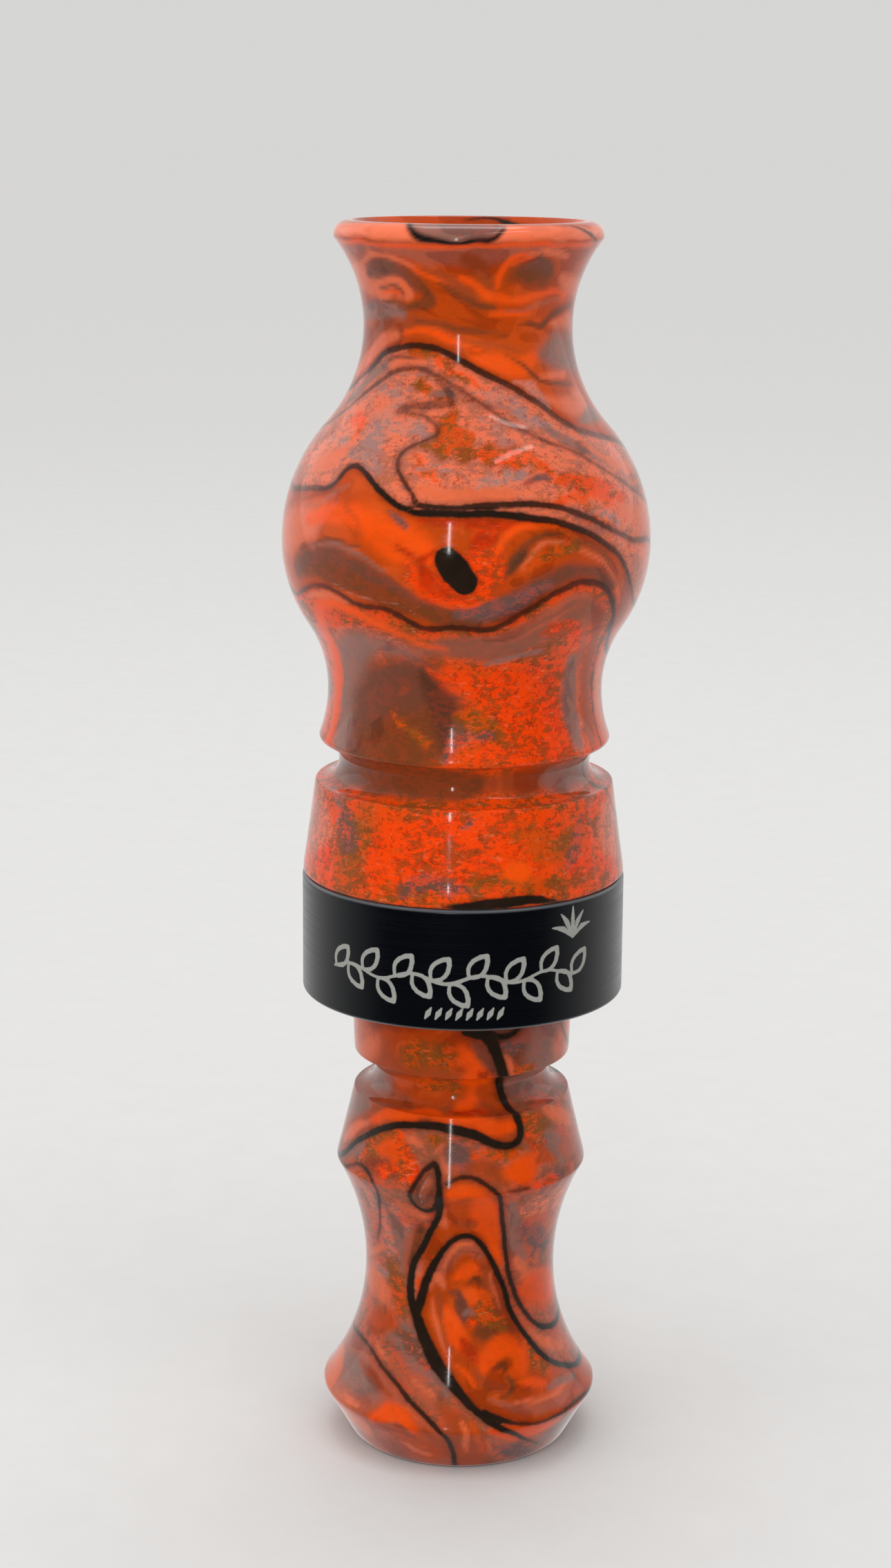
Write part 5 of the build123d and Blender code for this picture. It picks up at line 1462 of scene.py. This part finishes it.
def nylon_material():
    """Natural nylon wedge, cream and slightly waxy."""
    surface = Surface("natural_nylon", IOR=1.53, Subsurface_Weight=0.15, Subsurface_Scale=0.001)
    cloud = surface.noise(0.45, 3.0)
    surface.finish("Base Color", surface.mix(cloud, (0.66, 0.59, 0.44), (0.78, 0.73, 0.60)))
    grain = surface.noise(2.0, 3.0, 0.6, place=surface.stretched(4.0, 4.0, 0.8))
    surface.finish("Roughness", surface.range(grain, 0.3, 0.7, 0.35, 0.55))
    surface.bump(grain, 0.01)
    return surface.material


def floor_material():
    """A pale painted board with a faint tooth."""
    surface = Surface("pale_floor", Roughness=0.75)
    tooth = surface.noise(0.15, 5.0, 0.7)
    surface.finish("Base Color", surface.mix(tooth, (0.70, 0.695, 0.685), (0.76, 0.755, 0.745)))
    return surface.material


def give(piece, material):
    """Makes a material the only one of a piece."""
    piece.data.materials.clear()
    piece.data.materials.append(material)


# ---------------------------------------------------------------- the call

resin = resin_material()
noise.seed_set(WANDER_SEED)

barrel_outline = smooth_outline(outline_of("barrel"), BARREL_INSIDE, OUTER_STEP)
barrel = resin_piece(
    "barrel_resin", barrel_outline, BARREL_OUTSIDE, BARREL_VEINS, BARREL_PALE_VEINS,
    barrel_zones, BARREL_PAINTED_SHADE,
)
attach(barrel, "barrel")
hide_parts("barrel")
give(barrel, resin)

insert_outline = smooth_outline(outline_of("insert"), INSERT_INSIDE, OUTER_STEP)
insert = resin_piece(
    "insert_resin", insert_outline, INSERT_OUTSIDE, INSERT_VEINS, INSERT_PALE_VEINS,
    insert_zones, INSERT_PAINTED_SHADE,
)
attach(insert, "insert")
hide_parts("insert")
give(insert, resin)

band = band_piece()
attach(band, "barrel")
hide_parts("band")
give(band, anodised_material())

rubber = rubber_material()
for ring in ("tenon_o_ring_lower", "tenon_o_ring_upper", "channel_o_ring"):
    give(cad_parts[ring], rubber)
give(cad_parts["tone_channel"], acetal_material())
give(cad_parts["reed"], film_material())
give(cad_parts["wedge"], nylon_material())

# ---------------------------------------------------------------- floor, light and camera


FLOOR_RADIUS = 6
FLOOR_DROP = 0.0002
FLOOR_CORNERS = 128

# The room's colour, and how bright it is before the call, behind it and where the camera sees it
ROOM_COLOUR = (0.93, 0.93, 0.92, 1)
ROOM_FRONT = 0.03
ROOM_BACK = 0.85
ROOM_SEEN = 0.72

# Between these two, which are the depths of a direction, the room goes from dim to bright
DIM_UP_TO = -0.5
BRIGHT_FROM = 0.8

# The sky is a broad sun from the front left
SKY_POWER = 2.7
SKY_SPREAD = math.radians(110)
SKY_TURN = (math.radians(48), 0, math.radians(-14))

# The other lights are rectangles that face the call: place and size in metres, power in watts
CALL_MIDDLE = (0, 0, 0.066)
LEVEL = (1, 0, 0)
UPRIGHT = (0, 0, 1)
WALLS = {"left_wall": (-0.8, 0.45, 0.36), "right_wall": (0.8, 0.45, 0.36)}
WALL_SIZE = (0.8, 0.55)
WALL_POWER = 0.5
PANEL_PLACE = (0, 0.2, 0.85)
PANEL_SIZE = (0.5, 0.3)
PANEL_POWER = 1.3
STRIP_PLACE = (-0.115, -0.62, 0.2)
STRIP_SIZE = (0.22, 0.008)
STRIP_POWER = 0.17

# The lamp hangs over the right shoulder of the bulb, where its long reflection lies
BULB_SHOULDER = Vector((6.0, -17.4, 106.5)) * MM
LAMP_DISTANCE = 0.7
LAMP_PLACE = BULB_SHOULDER + LAMP_DISTANCE * Vector((0.401, -0.287, 0.870))
LAMP_ALONG = Vector((0.597, 0.802, -0.01))
LAMP_SIZE = (0.34, 0.035)
LAMP_POWER = 0.16

# The camera stands a little left of the call, looks down at it and leans slightly
CAMERA_AIM = Vector((-1.94, 0, 72.2)) * MM
CAMERA_DISTANCE = 305.6 * MM
CAMERA_PITCH = math.radians(13)
CAMERA_LEAN = math.radians(0.43)
CAMERA_LENS = 66.6
CAMERA_SENSOR = 36
CAMERA_NEAREST = 0.01


def floor():
    """A large pale disc under the call, kept out of the gloss of its dark band and resin."""
    bpy.ops.mesh.primitive_circle_add(
        vertices=FLOOR_CORNERS, radius=FLOOR_RADIUS, fill_type="NGON", location=(0, 0, -FLOOR_DROP)
    )
    disc = bpy.context.object
    disc.name = "floor"
    disc.visible_glossy = False
    give(disc, floor_material())


def area_light(name, place, aim, size, power, along):
    """A soft rectangular light that points at a place, with its first side along a direction."""
    data = bpy.data.lights.new(name, "AREA")
    data.shape = "RECTANGLE"
    data.size, data.size_y = size
    data.energy = power
    light = bpy.data.objects.new(name, data)
    light.visible_camera = False
    backward = (Vector(place) - Vector(aim)).normalized()
    upward = backward.cross(Vector(along)).normalized()
    turn = Matrix((upward.cross(backward), upward, backward)).transposed()
    light.matrix_world = Matrix.Translation(Vector(place)) @ turn.to_4x4()
    bpy.context.scene.collection.objects.link(light)
    return light


def world_light():
    """A pale room: even where it is seen, and as a light dim in front and bright behind."""
    world = bpy.data.worlds.new("pale_room")
    world.use_nodes = True
    tree = world.node_tree
    background = tree.nodes["Background"]
    background.inputs["Color"].default_value = ROOM_COLOUR
    direction = tree.nodes.new("ShaderNodeTexCoord").outputs["Generated"]
    parts = tree.nodes.new("ShaderNodeSeparateXYZ")
    tree.links.new(direction, parts.inputs[0])
    depth = tree.nodes.new("ShaderNodeMapRange")
    depth.inputs["From Min"].default_value = DIM_UP_TO
    depth.inputs["From Max"].default_value = BRIGHT_FROM
    depth.inputs["To Min"].default_value = ROOM_FRONT
    depth.inputs["To Max"].default_value = ROOM_BACK
    tree.links.new(parts.outputs["Y"], depth.inputs["Value"])
    seen = tree.nodes.new("ShaderNodeLightPath").outputs["Is Camera Ray"]
    strength = tree.nodes.new("ShaderNodeMapRange")
    strength.inputs["To Max"].default_value = ROOM_SEEN
    tree.links.new(depth.outputs["Result"], strength.inputs["To Min"])
    tree.links.new(seen, strength.inputs["Value"])
    tree.links.new(strength.outputs["Result"], background.inputs["Strength"])
    bpy.context.scene.world = world


def sky_light():
    """The broad soft light that shapes the call, kept out of its gloss."""
    data = bpy.data.lights.new("sky", "SUN")
    data.energy = SKY_POWER
    data.angle = SKY_SPREAD
    sky = bpy.data.objects.new("sky", data)
    sky.rotation_euler = SKY_TURN
    sky.visible_glossy = False
    bpy.context.scene.collection.objects.link(sky)


def area_lights():
    """Two walls that only show in the gloss, a panel above, a thin strip in front and a lamp."""
    for name, place in WALLS.items():
        wall = area_light(name, place, CALL_MIDDLE, WALL_SIZE, WALL_POWER, LEVEL)
        wall.visible_diffuse = False
    area_light("panel", PANEL_PLACE, CALL_MIDDLE, PANEL_SIZE, PANEL_POWER, LEVEL)
    area_light("strip", STRIP_PLACE, CALL_MIDDLE, STRIP_SIZE, STRIP_POWER, UPRIGHT)
    area_light("lamp", LAMP_PLACE, BULB_SHOULDER, LAMP_SIZE, LAMP_POWER, LAMP_ALONG)


def camera():
    """The camera of the main view."""
    data = bpy.data.cameras.new("camera")
    data.sensor_width = CAMERA_SENSOR
    data.lens = CAMERA_LENS
    data.clip_start = CAMERA_NEAREST
    eye = bpy.data.objects.new("camera", data)
    backward = Vector((0, -math.cos(CAMERA_PITCH), math.sin(CAMERA_PITCH)))
    place = CAMERA_AIM + CAMERA_DISTANCE * backward
    tilt = Matrix.Rotation(math.radians(90) - CAMERA_PITCH, 4, "X")
    eye.matrix_world = Matrix.Translation(place) @ tilt @ Matrix.Rotation(CAMERA_LEAN, 4, "Z")
    bpy.context.scene.collection.objects.link(eye)
    bpy.context.scene.camera = eye


floor()
world_light()
sky_light()
area_lights()
camera()
bpy.context.scene.view_settings.view_transform = "Standard"
